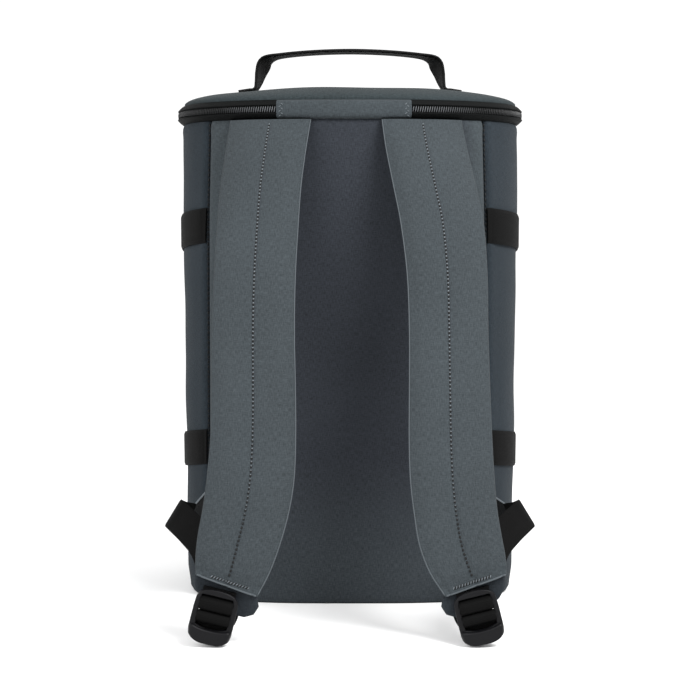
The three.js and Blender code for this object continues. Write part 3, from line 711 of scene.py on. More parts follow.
zip_tape = ribbed_tape("zip_tape_weave", linear(8, 9, 9), 0.9 * mm, 0.05)
zip_start = back_angle(strip_right + fit_gap, body_height)
zip_end = back_angle(-strip_left - fit_gap, body_height) + 2 * math.pi
coil_bed = 3.2 * mm
tape_profile = np.array(
    [
        (-4.2 * mm, -0.2 * mm),
        (-0.4 * mm, -0.15 * mm),
        (1.3 * mm, 0.7 * mm),
        (2.7 * mm, 2.0 * mm),
        (3.7 * mm, 3.0 * mm),
        (4.1 * mm, 3.7 * mm),
        (3.6 * mm, 4.1 * mm),
        (coil_bed - 0.6 * mm, 4.4 * mm),
        (coil_bed - 0.6 * mm, 6.5 * mm),
    ]
)
band_middle = (tape_bottom + upper_top) / 2
lower_profile = tape_profile + [0, tape_bottom]
upper_profile = (tape_profile * [1, -1] + [0, upper_top])[::-1]
for place, profile, seed in (("lower", lower_profile, 31), ("upper", upper_profile, 37)):
    tape = rim_band(
        f"{place}_zip_tape", profile, 0.8 * mm, zip_start, zip_end, 2.2 * mm, zip_tape, seed
    )
    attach(tape, "root")
    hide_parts(f"zip_tape_{place}")

# The coil's colour: grey plastic, lifted in the middle partly as painted highlight, and darkened towards
# the sides by painted shade where the teeth crowd at a grazing view.
coil_plastic = Shader("coil_plastic")
coil_wear = coil_plastic.noise(coil_plastic.place(), 1500)
coil_across = coil_plastic.math("ABSOLUTE", coil_plastic.parts(coil_plastic.place())[0])
coil_past = coil_plastic.minus(coil_across, 56 * mm)
coil_painted_shade = coil_plastic.ranged(coil_plastic.times(coil_past, 1 / (38 * mm)), 0, 1)
coil_grey_and_highlight = coil_plastic.blend(coil_wear, linear(72, 74, 77), linear(94, 96, 99))
coil_colour = coil_plastic.blend(coil_painted_shade, coil_grey_and_highlight, linear(20, 21, 22))
coil_plastic.look(coil_colour, coil_plastic.ranged(coil_wear, 0.35, 0.5), 0.35)
coil_plastic.relief(coil_wear, 0.03 * mm)

tooth_pitch = 1.75 * mm
tooth_width = 0.62 * mm
tooth_depth = 1.5 * mm
tooth_height = chain_height + 0.5 * mm
coil_angles = even_angles(zip_start, zip_end, body_height, 700)
coil_row = wall(coil_angles, body_height, coil_bed + 0.1 * mm)
coil_row[:, 2] = chain_middle
coil = run_along(
    "zip_coil_teeth",
    [coil_row],
    tooth_pitch,
    tooth_width,
    tooth_depth,
    tooth_height,
    coil_plastic.material,
    slant=0.2,
)
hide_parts("zip_chain")

# ------------------------------
# Zip slider
# A moulded slider closes the coil at the middle of the front. Its bridge holds a flat pull with
# an opening for a finger or cord.
# ------------------------------
slider_low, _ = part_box("zip_slider")


def smooth_plastic(name, colour, gloss):
    """Moulded plastic with a fine matt grain and slight rub marks."""
    plastic = Shader(name)
    rub = plastic.noise(plastic.place(), 160, 3.0)
    plastic.look(plastic.blend(rub, *tones(colour, 0.9, 1.12)), plastic.ranged(rub, 0.34, 0.5), gloss)
    plastic.relief(plastic.noise(plastic.place(), 1900), 0.03 * mm)
    return plastic.material


def cut_plate(name, outlines, thickness, edge, finish):
    """A plate cut from outlines, the first its edge and the others its openings, with soft edges."""
    curve = bpy.data.curves.new(name, "CURVE")
    curve.dimensions = "2D"
    curve.fill_mode = "BOTH"
    curve.extrude = thickness / 2 - edge
    curve.bevel_depth = edge
    curve.bevel_resolution = 3
    curve.offset = -edge
    for outline in outlines:
        spline = curve.splines.new("POLY")
        spline.points.add(len(outline) - 1)
        spline.points.foreach_set("co", np.array([(x, y, 0, 1) for x, y in outline]).ravel())
        spline.use_cyclic_u = True
    mesh = settled(new_object(name, curve))
    mesh.materials.clear()
    mesh.materials.append(finish)
    piece = new_object(name, mesh)
    close_poles(piece)
    mesh.shade_smooth()
    mesh.set_sharp_from_angle(angle=math.radians(35))
    return piece


def rounded_box(width, height, corner, middle=(0, 0)):
    """Outline of a rectangle with rounded corners."""
    points = []
    for quarter, (sx, sy) in enumerate(((1, 1), (-1, 1), (-1, -1), (1, -1))):
        for angle in np.linspace(0, math.pi / 2, 6) + quarter * math.pi / 2:
            x = middle[0] + sx * (width / 2 - corner) + corner * math.cos(angle)
            y = middle[1] + sy * (height / 2 - corner) + corner * math.sin(angle)
            points.append((x, y))
    return points


def set_place(piece, matrix):
    """Puts a piece where it belongs, in its mesh."""
    piece.data.transform(matrix)
    piece.data.update()


lock_plastic = smooth_plastic("lock_plastic_matt", linear(9, 9, 11), 0.12)
upright = Matrix.Rotation(math.pi / 2, 4, "X")
for name, outlines, thickness, depth, lift in (
    ("zip_slider_body", [rounded_box(8.6 * mm, 6.6 * mm, 2.2 * mm)], 2.4 * mm, 1.3 * mm, chain_middle),
    ("zip_slider_bridge", [rounded_box(2.6 * mm, 6.0 * mm, 1.2 * mm)], 1.6 * mm, 2.9 * mm, chain_middle),
    (
        "zip_slider_pull",
        [
            rounded_box(5.8 * mm, 23 * mm, 2.2 * mm),
            rounded_box(2.8 * mm, 9 * mm, 1.3 * mm, middle=(0, -5 * mm)),
            rounded_box(2.8 * mm, 2.6 * mm, 0.9 * mm, middle=(0, 8.6 * mm)),
        ],
        1.4 * mm,
        4.2 * mm,
        slider_low.z + 12 * mm,
    ),
):
    part = cut_plate(name, outlines, thickness, 0.45 * mm, lock_plastic)
    set_place(part, Matrix.Translation((0, slider_low.y + depth, lift)) @ upright)
    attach(part, "root")
    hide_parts("zip_slider")

# ------------------------------
# Hinge strip
# A strip of the strap canvas covers the ends of the zip at the back and lets the lid swing. It is
# sewn along both edges, and a zigzag row of grey thread holds each end.
# ------------------------------
strap_canvas = canvas_cloth("strap_canvas", linear(48, 53, 56))
# Painted shade: the lid's canvas is the strap canvas made darker.
lid_painted_shade_canvas = canvas_cloth("lid_painted_shade_canvas", linear(38, 44, 46))
# Painted shade: the strap end layer is the strap canvas made darker for the shade it lies in below the
# turned end.
end_painted_shade_canvas = canvas_cloth("strap_end_painted_shade_canvas", linear(32, 36, 40))
# Painted highlight: a lighter canvas tone for the crests of turned edges.
fold_painted_highlight = thread_finish("turned_canvas_edge_painted_highlight", linear(66, 72, 76))
strip_height = upper_top - tape_bottom
strip_profile = [
    (-4.2 * mm, tape_bottom - 0.2 * mm),
    (0.2 * mm, tape_bottom - 0.1 * mm),
    (2.9 * mm, tape_bottom + 0.9 * mm),
    (4.1 * mm, tape_bottom + 3.2 * mm),
    (4.4 * mm, band_middle),
    (4.1 * mm, upper_top - 3.2 * mm),
    (2.9 * mm, upper_top - 0.9 * mm),
    (0.2 * mm, upper_top + 0.1 * mm),
    (-4.2 * mm, upper_top + 0.2 * mm),
]
strip_start = back_angle(-strip_left - 0.7 * mm, body_height)
strip_end = back_angle(strip_right + 0.7 * mm, body_height)
strip = rim_band(
    "hinge_canvas_strip", strip_profile, 1.5 * mm, strip_start, strip_end, 1.6 * mm, strap_canvas, 41
)
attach(strip, "root")
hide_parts("hinge_strip")

zigzag_rows = 7
zigzag = []
for x, inwards in ((-strip_left, 1), (strip_right, -1)):
    rows = np.arange(0, zigzag_rows)
    xs = x + inwards * (1.5 * mm + 2.2 * mm * (rows % 2))
    line = wall(back_angle(xs, body_height), body_height + 0 * xs, 4.25 * mm)
    line[:, 2] = tape_bottom + 1.6 * mm + rows * (strip_height - 3.2 * mm) / (zigzag_rows - 1)
    for a, b in zip(line[:-1], line[1:]):
        zigzag.append(np.array([a * 0.85 + b * 0.15, a * 0.15 + b * 0.85]))
zigzag_stitches = run_along(
    "hinge_strip_stitches", zigzag, 9 * mm, 2.2 * mm, 0.5 * mm, 0.5 * mm, grey_thread
)

# ------------------------------
# Lid
# A padded oval crown of canvas like that of the straps, painted a little darker as shade, over foam. Its
# edge rolls down to the seam with the upper zip tape.
# ------------------------------
lid_rise = 13.2 * mm
lid_thickness = 6 * mm
lid_reach = [0.0, 0.3, 0.55, 0.72, 0.84, 0.91, 0.955, 0.985, 1.0]
lid_lift = [1.0, 0.99, 0.9, 0.76, 0.61, 0.47, 0.34, 0.18, 0.0]
lid_profile = np.stack([np.array(lid_reach) * half_width, np.array(lid_lift) * lid_rise], -1)
lid_line = smooth_path(lid_profile, 2.2 * mm)
lid_angles = even_angles(0, 2 * math.pi, body_height, 221)[:-1]
rim = wall(lid_angles, body_height + 0 * lid_angles)
inner_rim = wall(lid_angles, body_height + 0 * lid_angles, -lid_thickness)
reach, lift = lid_line[:, :1] / half_width, lid_line[:, 1:]
spot = reach[..., None] * rim[None, :, :2]
hold = np.clip((1 - reach) / 0.25, 0, 1)
waves = 0.5 * mm * hold * unevenness(spot[..., 0], spot[..., 1], 90 * mm, 53)
roll = edge_roll(lift + 0 * waves, depth=1.1 * mm, swell=0.3 * mm, width=3 * mm)
lid_outer = np.dstack([spot * (1 + roll[..., None] / half_width), lid_base + lift + waves])
inner_lift = lift * (lid_rise - lid_thickness) / lid_rise
lid_inner = np.dstack([reach[..., None] * inner_rim[None, :, :2], lid_base + inner_lift + 0 * waves])
lid = shell("lid_canvas_crown", lid_outer, lid_inner, spot, lid_painted_shade_canvas, wraps=True)
close_poles(lid)
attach(lid, "root")
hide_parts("lid")

# ------------------------------
# Grab handle
# Black polypropylene webbing sewn flat to the lid at two feet. It stands up in a low arch, and
# both legs twist a little under the pull of their folds.
# ------------------------------
handle_width = 25 * mm
handle_thickness = 2.2 * mm
handle_half = 71 * mm
handle_rise = 30 * mm
handle_foot = 14 * mm
handle_twist = 0.4
lid_crown = lid_base + lid_rise


def unit(vectors):
    return vectors / np.linalg.norm(vectors, axis=-1, keepdims=True)


def band(name, places, sides, width, thickness, finish, step=2.2 * mm):
    """Webbing through stations, each with its place and the direction of its width."""
    line = smooth_path(np.concatenate([np.asarray(places), unit(np.asarray(sides)) * 20 * mm], -1), step)
    centre, side = line[:, :3], unit(line[:, 3:])
    along = unit(np.gradient(centre, axis=0))
    side = unit(side - along * np.sum(side * along, -1, keepdims=True))
    across = np.linspace(-1, 1, 15)
    edge = np.clip((1 - np.abs(across)) * width / 2 / (1.0 * mm), 0, 1)
    half = thickness / 2 * (0.45 + 0.55 * np.sqrt(1 - (1 - edge) ** 2))
    middle = centre[:, None] + side[:, None] * (across * width / 2)[None, :, None]
    lift = np.cross(along, side)[:, None] * half[None, :, None]
    uvs = np.stack(np.meshgrid(across * width / 2, lengths_along(centre)), -1)
    piece = shell(name, middle + lift, middle - lift, uvs, finish)
    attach(piece, "root")
    return piece


def lid_top(x):
    return lid_base + np.interp(abs(x) / rim[:, 0].max(), lid_reach, lid_lift) * lid_rise


handle_webbing = ribbed_tape("handle_webbing", linear(14, 14, 14), 1.15 * mm, 0.06, chevron=0.5)
half_arch = []
for past, lifted in ((1, 0), (0.45, 0.018), (0.125, 0.035)):
    x = handle_half + handle_foot * past
    half_arch.append((x, lid_top(x) + fit_gap + handle_thickness / 2 + handle_rise * lifted, 0))
for share, rise, twist in (
    (0.99, 0.22, 0.35),
    (0.965, 0.45, 0.7),
    (0.925, 0.68, 1.0),
    (0.86, 0.82, 0.8),
    (0.72, 0.9, 0.25),
    (0.4, 0.97, 0),
    (0, 1, 0),
):
    half_arch.append((handle_half * share, lid_crown + handle_rise * rise, twist * handle_twist))
arch = [(-x, z, -twist) for x, z, twist in half_arch[:-1]] + half_arch[::-1]
handle = band(
    "grab_handle_webbing",
    [(x, 0, z) for x, z, _ in arch],
    [(-math.sin(twist), math.cos(twist), 0) for _, _, twist in arch],
    handle_width,
    handle_thickness,
    handle_webbing,
)
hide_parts("handle")

foot_boxes = []
for side in (-1, 1):
    near, far, half = handle_half + 3.5 * mm, handle_half + 12 * mm, 10 * mm
    corners = [(near, half), (far, half), (far, -half), (near, -half), (near, half)]
    loop = [(side * x, y, lid_top(x) + fit_gap + handle_thickness) for x, y in corners]
    foot_boxes.append(np.array(loop))
foot_stitches = run_along(
    "handle_foot_stitches", foot_boxes, 3.0 * mm, 2.4 * mm, 0.5 * mm, 0.5 * mm, dark_thread
)

# ------------------------------
# Side webbing
# Four lengths of black webbing are sewn into the back seams and lie round the sides. Each falls
# a little on its way to the front.
# ------------------------------
side_width = 26 * mm
side_thickness = 1.6 * mm
webbing_clear = 0.5 * mm
side_steps = 110
side_webbing = ribbed_tape("side_webbing", linear(9, 9, 9), 1.25 * mm, 0.05, chevron=0.4, relief=0.25 * mm)

for level, share, fall in (("upper", 0.784, 0.037), ("lower", 0.321, 0.055)):
    middle = share * body_height
    along = np.linspace(0, 1, side_steps)
    rows = np.linspace(-0.5, 0.5, 13)
    z = middle + rows[:, None] * side_width - (fall * body_height * along)[None, :]
    edge = np.clip((0.5 - np.abs(rows)) * side_width / (1.2 * mm), 0, 1)[:, None]
    sewn = np.exp(-((along * 90) ** 2) / 8)[None, :]
    outer = webbing_clear + side_thickness * (0.5 + 0.5 * np.sqrt(1 - (1 - edge) ** 2)) + 0 * z
    outer = outer - 1.1 * mm * sewn
    inner = webbing_clear - 0.2 * mm - 0.6 * mm * sewn + 0 * z
    for name, side in (("left", -1), ("right", 1)):
        start = back_angle(seam_across(side, middle) + 0.6 * mm, middle)
        angles = even_angles(start, -start, middle, side_steps)
        v = lengths_along(wall(angles, middle))
        uvs = np.stack(np.meshgrid(v, rows * side_width), -1)[..., ::-1]
        angles = angles[None, :] + 0 * z
        face = wall(angles, z, outer) * [side, 1, 1]
        back = wall(angles, z, inner) * [side, 1, 1]
        piece = shell(f"side_webbing_band_{level}_{name}", face, back, uvs, side_webbing)
        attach(piece, "root")
        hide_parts(f"side_webbing_{level}_{name}")

# ------------------------------
# Shoulder straps
# Each strap is two layers of canvas over foam, sewn down its middle and round its edges, which
# makes two soft channels. It hangs from the rim in front of the back and ends in a turned edge.
# ------------------------------
strap_reach = 122 * mm
strap_padding = 9 * mm
strap_edge = 3.2 * mm
strap_columns = 29
strap_count = 130

# Rows from the top down: height, stand-off, hold of the wall's curve, slant and padding, then the
# inner and outer edge of the left strap and of the right strap.
strap_table = [
    (0.999, 0.0, 1.0, 0.0, 0.6, (0.222, 0.684), (0.181, 0.636)),
    (0.97, 0.045, 0.85, 0.0, 0.85, (0.234, 0.692), (0.19, 0.646)),
    (0.93, 0.105, 0.6, 0.0, 1.0, (0.25, 0.702), (0.206, 0.664)),
    (0.86, 0.22, 0.35, 0.0, 1.0, (0.272, 0.72), (0.242, 0.7)),
    (0.785, 0.335, 0.2, 0.0, 1.0, (0.284, 0.729), (0.28, 0.735)),
    (0.686, 0.475, 0.1, 0.0, 1.0, (0.296, 0.736), (0.31, 0.744)),
    (0.581, 0.6, 0.05, 0.0, 1.0, (0.298, 0.737), (0.318, 0.74)),
    (0.476, 0.72, 0.0, 0.0, 1.0, (0.29, 0.733), (0.315, 0.741)),
    (0.382, 0.815, 0.0, 0.0, 1.0, (0.286, 0.733), (0.311, 0.746)),
    (0.307, 0.88, 0.0, 0.003, 1.0, (0.293, 0.747), (0.316, 0.754)),
    (0.247, 0.92, 0.0, 0.008, 1.0, (0.321, 0.767), (0.335, 0.766)),
    (0.194, 0.955, 0.0, 0.018, 0.9, (0.366, 0.79), (0.362, 0.786)),
    (0.15, 0.98, 0.0, 0.03, 0.75, (0.418, 0.8), (0.415, 0.805)),
    (0.112, 1.0, 0.0, 0.042, 0.55, (0.482, 0.798), (0.495, 0.81)),
]
strap_rows = {"left": [], "right": []}
for height, *hang, left, right in strap_table:
    strap_rows["left"].append((height, *left, *hang))
    strap_rows["right"].append((height, *right, *hang))


def fine_rows(name):
    """The rows of one strap at even steps down it, on a smooth curve through those of the table."""
    table = np.array(strap_rows[name])
    last = len(table) - 1
    down = lengths_along(np.stack([table[:, 0] * body_height, table[:, 3] * strap_reach], -1))
    where = np.interp(np.linspace(0, down[-1], strap_count), down, np.arange(last + 1))
    n = np.clip(where.astype(int), 0, last - 1)
    before, after = table[np.clip(n - 1, 0, None)], table[np.clip(n + 2, None, last)]
    return between(before, table[n], table[n + 1], after, (where - n)[:, None])


def strap_face(rows, side, across):
    """Front and back points of a strap for rows of the table and places across it."""
    height, inner, outer, stand, follow, slant, padding = [column[:, None] for column in rows.T]
    across = across[None, :]
    z = body_height * (height + slant * (across - 0.5))
    x = half_width * (inner + (outer - inner) * across)
    deep = oval(z)[1]
    curve = (deep - wall_depth(x, z)) * follow
    back = -deep - fit_gap - strap_reach * stand + curve
    bulge = 1 - np.abs(2 * across - 1) ** 4
    full = np.maximum(strap_edge, strap_padding * padding)
    thick = strap_edge + (full - strap_edge) * bulge
    front = back - thick
    return np.stack([side * x, front, z], -1), np.stack([side * x, back, z], -1)


puff_frames = 20


def puff(piece, sewn, most, pressure):
    """Blows a closed piece up like stuffed cloth. Sewn points stay, none moves further than most."""
    group = piece.vertex_groups.new(name="sewn")
    group.add([int(n) for n in sewn], 1.0, "REPLACE")
    start = np.zeros(len(piece.data.vertices) * 3)
    piece.data.vertices.foreach_get("co", start)
    start = start.reshape(-1, 3)
    cloth = piece.modifiers.new("puff", "CLOTH")
    canvas = cloth.settings
    canvas.quality = 5
    canvas.mass = 0.3
    canvas.tension_stiffness = 15
    canvas.compression_stiffness = 15
    canvas.shear_stiffness = 8
    canvas.bending_stiffness = 1.2
    canvas.use_pressure = True
    canvas.uniform_pressure_force = pressure
    canvas.vertex_group_mass = "sewn"
    canvas.effector_weights.gravity = 0
    cloth.collision_settings.use_collision = False
    cloth.collision_settings.use_self_collision = False
    cloth.point_cache.frame_start = 1
    cloth.point_cache.frame_end = puff_frames
    for frame_number in range(1, puff_frames + 1):
        scene.frame_set(frame_number)
    graph = bpy.context.evaluated_depsgraph_get()
    puffed = piece.evaluated_get(graph).to_mesh()
    end = np.zeros(len(start) * 3)
    puffed.vertices.foreach_get("co", end)
    move = end.reshape(-1, 3) - start
    length = np.linalg.norm(move, axis=-1, keepdims=True)
    piece.evaluated_get(graph).to_mesh_clear()
    piece.modifiers.remove(cloth)
    piece.vertex_groups.remove(group)
    capped = start + move * np.minimum(1, most / np.maximum(length, 1e-9))
    piece.data.vertices.foreach_set("co", capped.ravel())
    piece.data.update()
    scene.frame_set(1)


strap_fronts = {}
for name, side in (("left", -1), ("right", 1)):
    rows = fine_rows(name)
    across = np.linspace(0, 1, strap_columns)
    front, back = strap_face(rows, side, across)
    down = lengths_along((front[:, strap_columns // 2] + back[:, strap_columns // 2]) / 2)
    width = np.linalg.norm(front[:, -1] - front[:, 0], axis=-1)
    u = (across[None, :] - 0.5) * width[:, None]
    v = down[:, None] + 0 * u
    from_side = np.minimum(across, 1 - across)[None, :] * width[:, None]
    from_end = np.minimum(v, down[-1] - v)
    groove = 0.9 * mm * np.exp(-((u / (1.5 * mm)) ** 2))
    edge_line = 0.8 * mm * np.exp(-(((from_side - 3.0 * mm) / (0.9 * mm)) ** 2))
    lip = 0.5 * mm * np.exp(-((from_side / (1.4 * mm)) ** 2))
    lip += 1.0 * mm * np.exp(-(((down[-1] - v) / (1.5 * mm)) ** 2))
    edge_line += 0.9 * mm * np.exp(-(((down[-1] - v - 3.8 * mm) / (1.3 * mm)) ** 2))
    ease = np.clip(from_side / (8 * mm), 0, 1) * np.clip(from_end / (10 * mm), 0, 1)
    swell = 0.35 * mm * ease * unevenness(u, v, 55 * mm, 61 + side)
    front[..., 1] += groove + edge_line - lip - swell
    back[..., 1] -= groove * 0.5
    edge_in = (front[:, :1] + back[:, :1]) / 2 + np.array([-side * 0.5 * mm, 0, 0])
    edge_out = (front[:, -1:] + back[:, -1:]) / 2 + np.array([side * 0.5 * mm, 0, 0])
    ring = np.concatenate([edge_in, front, edge_out, back[:, ::-1]], 1)
    around = ring.shape[1]
    uvs = np.concatenate([u[:, :1] - 2 * mm, u, u[:, -1:] + 2 * mm, u[:, ::-1]], 1)
    uvs = np.stack([uvs, np.broadcast_to(down[:, None], uvs.shape)], -1)
    faces = grid_faces(strap_count, around, wraps=True)
    for row, flip in ((0, False), (strap_count - 1, True)):
        first = row * around
        caps = []
        for column in range(1, strap_columns):
            opposite = around - column
            caps.append((first + column, first + column + 1, first + opposite - 1, first + opposite))
        caps.append((first, first + 1, first + around - 1))
        caps.append((first + strap_columns, first + strap_columns + 1, first + strap_columns + 2))
        faces += [face[::-1] if flip else face for face in caps]
    strap = add_mesh(f"strap_canvas_{name}", ring.reshape(-1, 3), faces, uvs.reshape(-1, 2), strap_canvas)
    face_outwards(strap)
    sewn_columns = [0, 1, 2, strap_columns // 2 + 1, strap_columns - 1, strap_columns, strap_columns + 1]
    sewn_columns += [strap_columns + 2, strap_columns + 3 + strap_columns // 2, around - 1, around - 2]
    sewn = [row * around + column for row in range(strap_count) for column in sewn_columns]
    sewn += list(range(around)) + list(range((strap_count - 1) * around, strap_count * around))
    puff(strap, sorted(set(sewn)), 1.6 * mm, 2.5)
    finer = strap.modifiers.new("finer", "SUBSURF")
    finer.levels = 1
    finer.render_levels = 1
    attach(strap, "root")
    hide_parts(f"strap_{name}")
    strap_fronts[name] = front

stitch_lines, hole_lines, edge_lines = [], [], []
for front in strap_fronts.values():
    middle = front[2:-3, strap_columns // 2] + [0, -0.5 * mm, 0]
    stitch_lines.append(middle)
    hole_lines.append(smooth_path(middle, 1.45 * mm)[1:])
    edge_lines.append(front[1:-1, 0] + [0, 0.1 * mm, 0])
# Painted highlight along each strap's inner turned edge.
strap_folds = run_along(
    "strap_turned_edge_highlights", edge_lines, 1.5 * mm, 3.4 * mm, 0.8 * mm, 0.9 * mm, fold_painted_highlight
)
middle_stitches = run_along(
    "strap_middle_stitches", stitch_lines, 2.9 * mm, 1.7 * mm, 1.0 * mm, 1.25 * mm, grey_thread
)
# Painted shade in the needle holes between the grey stitches.
middle_holes = run_along(
    "strap_needle_holes", hole_lines, 2.9 * mm, 2.1 * mm, 1.1 * mm, 1.5 * mm, needle_hole_painted_shade
)

# ------------------------------
# Strap ends
# The back layer of each strap goes on past the turned end and is cut round. A row of slanted
# stitches just above the turned edge holds the lock's webbing between the layers.
# ------------------------------
end_thickness = 2.4 * mm
end_clear = 0.36 * mm
end_rows, end_columns = 22, 34
end_outer = [(0.806, 0.127), (0.806, 0.108)]
end_bottom = [(0.806, 0.108), (0.775, 0.086), (0.72, 0.07), (0.62, 0.056), (0.55, 0.05)]
end_bottom += [(0.5, 0.055), (0.474, 0.07)]
end_inner = [(0.474, 0.07), (0.482, 0.087)]


def strap_end_back(name):
    """Where the back of a strap's turned end lies."""
    height, _, _, stand, _, _, _ = strap_rows[name][-1]
    return -oval(height * body_height)[1] - fit_gap - strap_reach * stand


def patch(top, bottom, first, last, rows, columns):
    """A surface over four edges. Top and bottom run from first to last, first and last run down."""
    top, bottom = spaced(top, columns), spaced(bottom, columns)
    first, last = spaced(first, rows), spaced(last, rows)
    t = np.linspace(0, 1, rows)[:, None, None]
    s = np.linspace(0, 1, columns)[None, :, None]
    ruled = (1 - t) * top[None] + t * bottom[None] + (1 - s) * first[:, None] + s * last[:, None]
    corners = (1 - t) * ((1 - s) * top[0] + s * top[-1]) + t * ((1 - s) * bottom[0] + s * bottom[-1])
    return ruled - corners


end_stitches, end_holes, end_folds = [], [], []
for name, side in (("left", -1), ("right", 1)):
    height, inner, outer, _, _, slant, _ = strap_rows[name][-1]
    low = height - slant / 2 - end_clear / body_height
    high = height + slant / 2 - end_clear / body_height
    scale = np.array([half_width, body_height])
    flat = patch(
        np.array([(inner, low), (outer, high)]) * scale,
        np.array(end_bottom[::-1]) * scale,
        np.array([(inner, low)] + end_inner[::-1]) * scale,
        np.array([(outer, high)] + end_outer) * scale,
        end_rows,
        end_columns,
    )
    back_y = strap_end_back(name)
    s = np.linspace(0, 1, end_columns)[None, :]
    t = np.linspace(0, 1, end_rows)[:, None]
    rim_share = np.minimum(np.minimum(s, 1 - s) * 3.2, (1 - t) * 2.2)
    thin = np.clip(rim_share / 0.28, 0, 1)
    thick = end_thickness * (0.45 + 0.55 * np.sqrt(1 - (1 - thin) ** 2))
    sag = 0.25 * mm * unevenness(flat[..., 0], flat[..., 1], 22 * mm, 71 + side) * thin
    face = np.stack([side * flat[..., 0], back_y - thick + sag, flat[..., 1]], -1)
    back = np.stack([side * flat[..., 0], back_y + 0 * thick, flat[..., 1]], -1)
    # The end layer's darker canvas is painted shade.
    layer = shell(f"strap_end_layer_{name}", face, back, flat, end_painted_shade_canvas)
    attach(layer, "root")
    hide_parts(f"strap_end_{name}")

    front_rows = strap_fronts[name]
    low_row = 0.6 * front_rows[-2] + 0.4 * front_rows[-3]
    picked = low_row[int(strap_columns * 0.18) : int(strap_columns * 0.78)]
    end_stitches.append(picked + [0, -0.7 * mm, 0])
    end_holes.append(picked[:-1] * 0.5 + picked[1:] * 0.5 + [0, -0.6 * mm, 0])
    end_folds.append(front_rows[-1, 1:-1] + [0, -0.2 * mm, 0.2 * mm])
end_stitch_row = run_along(
    "strap_end_stitches", end_stitches, 1.9 * mm, 0.8 * mm, 0.7 * mm, 2.3 * mm, grey_thread, slant=0.5
)
# Painted shade in the gaps between the slanted stitches.
end_gaps = run_along(
    "strap_end_stitch_gaps", end_holes, 1.9 * mm, 0.9 * mm, 0.7 * mm, 2.6 * mm, needle_hole_painted_shade, slant=0.5
)
# Painted highlight along each strap's turned end.
end_rolls = run_along(
    "strap_end_turned_edge_highlights", end_folds, 0.9 * mm, 2.2 * mm, 1.5 * mm, 1.3 * mm, fold_painted_highlight
)

# ------------------------------
# Ladder locks
# One moulded piece each: a rounded frame with three slots and two bars, and a thick lever below
# that a thumb lifts to let the webbing run. Each hangs at a slant just clear of the floor.
# ------------------------------
lock_width = 28.6 * mm
lock_height = 35.6 * mm
lock_frame = 3.6 * mm
lock_lever = 6.4 * mm
lock_slot_width = 21.2 * mm
lock_tilt = 0.245
lock_lift = 0.5 * mm
lock_foot = 0.28
adjuster_width = 22 * mm
adjuster_thickness = 1.4 * mm
lock_places = {"left": 0.706, "right": 0.665}
lock_outline = [
    (0.0, 1.0),
    (0.45, 0.965),
    (0.8, 0.86),
    (0.96, 0.67),
    (1.0, 0.35),
    (1.01, 0.0),
    (1.01, -0.4),
    (1.0, -0.6),
    (0.9, -0.83),
    (0.55, -0.97),
    (0.0, -1.0),
]
lock_scale = np.array([lock_width / 2, lock_height / 2])


def lock_matrix(name, side):
    """Where a lock hangs: behind the webbing's fold, its foot just clear of the floor."""
    reach = lock_height / 2 * math.cos(lock_tilt) + lock_width * lock_foot * math.sin(lock_tilt)
    loop_back = 1.58 * lock_frame + adjuster_thickness / 2
    place = (
        side * half_width * lock_places[name],
        strap_end_back(name) - end_thickness - fit_gap - loop_back,
        lock_lift + reach,
    )
    return Matrix.Translation(place) @ Matrix.Rotation(-side * lock_tilt, 4, "Y")


half_edge = smooth_path(np.array(lock_outline) * lock_scale, 1.1 * mm)
lock_edge = np.concatenate([half_edge, half_edge[-2:0:-1] * [-1, 1]])
lever_curve = [(-0.92, -0.37), (-0.5, -0.46), (0, -0.49), (0.5, -0.46), (0.92, -0.37)]
lever_top = smooth_path(np.array(lever_curve) * lock_scale, 1.0 * mm)
lower_half = half_edge[half_edge[:, 1] < -0.37 * lock_height / 2]
lever_right = np.concatenate([[lever_top[-1]], lower_half])
slots = []
for bottom, top in ((0.5, 0.76), (0.04, 0.35)):
    size = (top - bottom) * lock_height / 2
    middle = (top + bottom) * lock_height / 4
    slots.append(rounded_box(lock_slot_width, size, 1.1 * mm, middle=(0, middle)))
crescent_ends = np.array([(0.74, -0.12), (-0.74, -0.12)]) * lock_scale
slots.append(np.concatenate([lever_top * [0.8, 1] + [0, 0.2 * mm], crescent_ends]))
lever_rows, lever_columns = 19, 31
lever_edge = 2.6 * mm

for name, side in (("left", -1), ("right", 1)):
    plate = cut_plate(f"ladder_lock_frame_{name}", [lock_edge, *slots], lock_frame, 0.9 * mm, lock_plastic)
    set_place(plate, lock_matrix(name, side) @ upright)
    rim_right = spaced(lever_right, lever_rows)
    t = np.linspace(0, 1, lever_rows)[:, None]
    s = np.linspace(-1, 1, lever_columns)[None, :]
    top_line = spaced(lever_top, lever_columns)
    x = rim_right[:, :1] * s
    dip = (top_line[:, 1] - top_line[-1, 1])[None, :] * (1 - t) ** 1.5
    z = rim_right[:, 1:] + 0 * s + dip
    side_share = np.clip((1 - np.abs(s)) * 5.5, 0, 1)
    end_share = np.clip(np.minimum(t * 9 + 0.25, (1 - t) * 4.5), 0, 1)
    dome = np.sqrt(1 - (1 - side_share) ** 2) * np.sqrt(1 - (1 - end_share) ** 2)
    front_y = lock_frame / 2 - lever_edge - (lock_lever - lever_edge) * dome
    front = np.stack([x, front_y, z], -1)
    rear = np.stack([x, 0 * front_y + lock_frame / 2 - 0.4 * mm * (1 - dome), z], -1)
    lever = shell(
        f"ladder_lock_lever_{name}", front, rear, np.stack([x, z], -1), lock_plastic, sharp=60
    )
    close_poles(lever)
    set_place(lever, lock_matrix(name, side))
    for piece in (plate, lever):
        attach(piece, "root")
        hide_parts(f"ladder_lock_{name}")

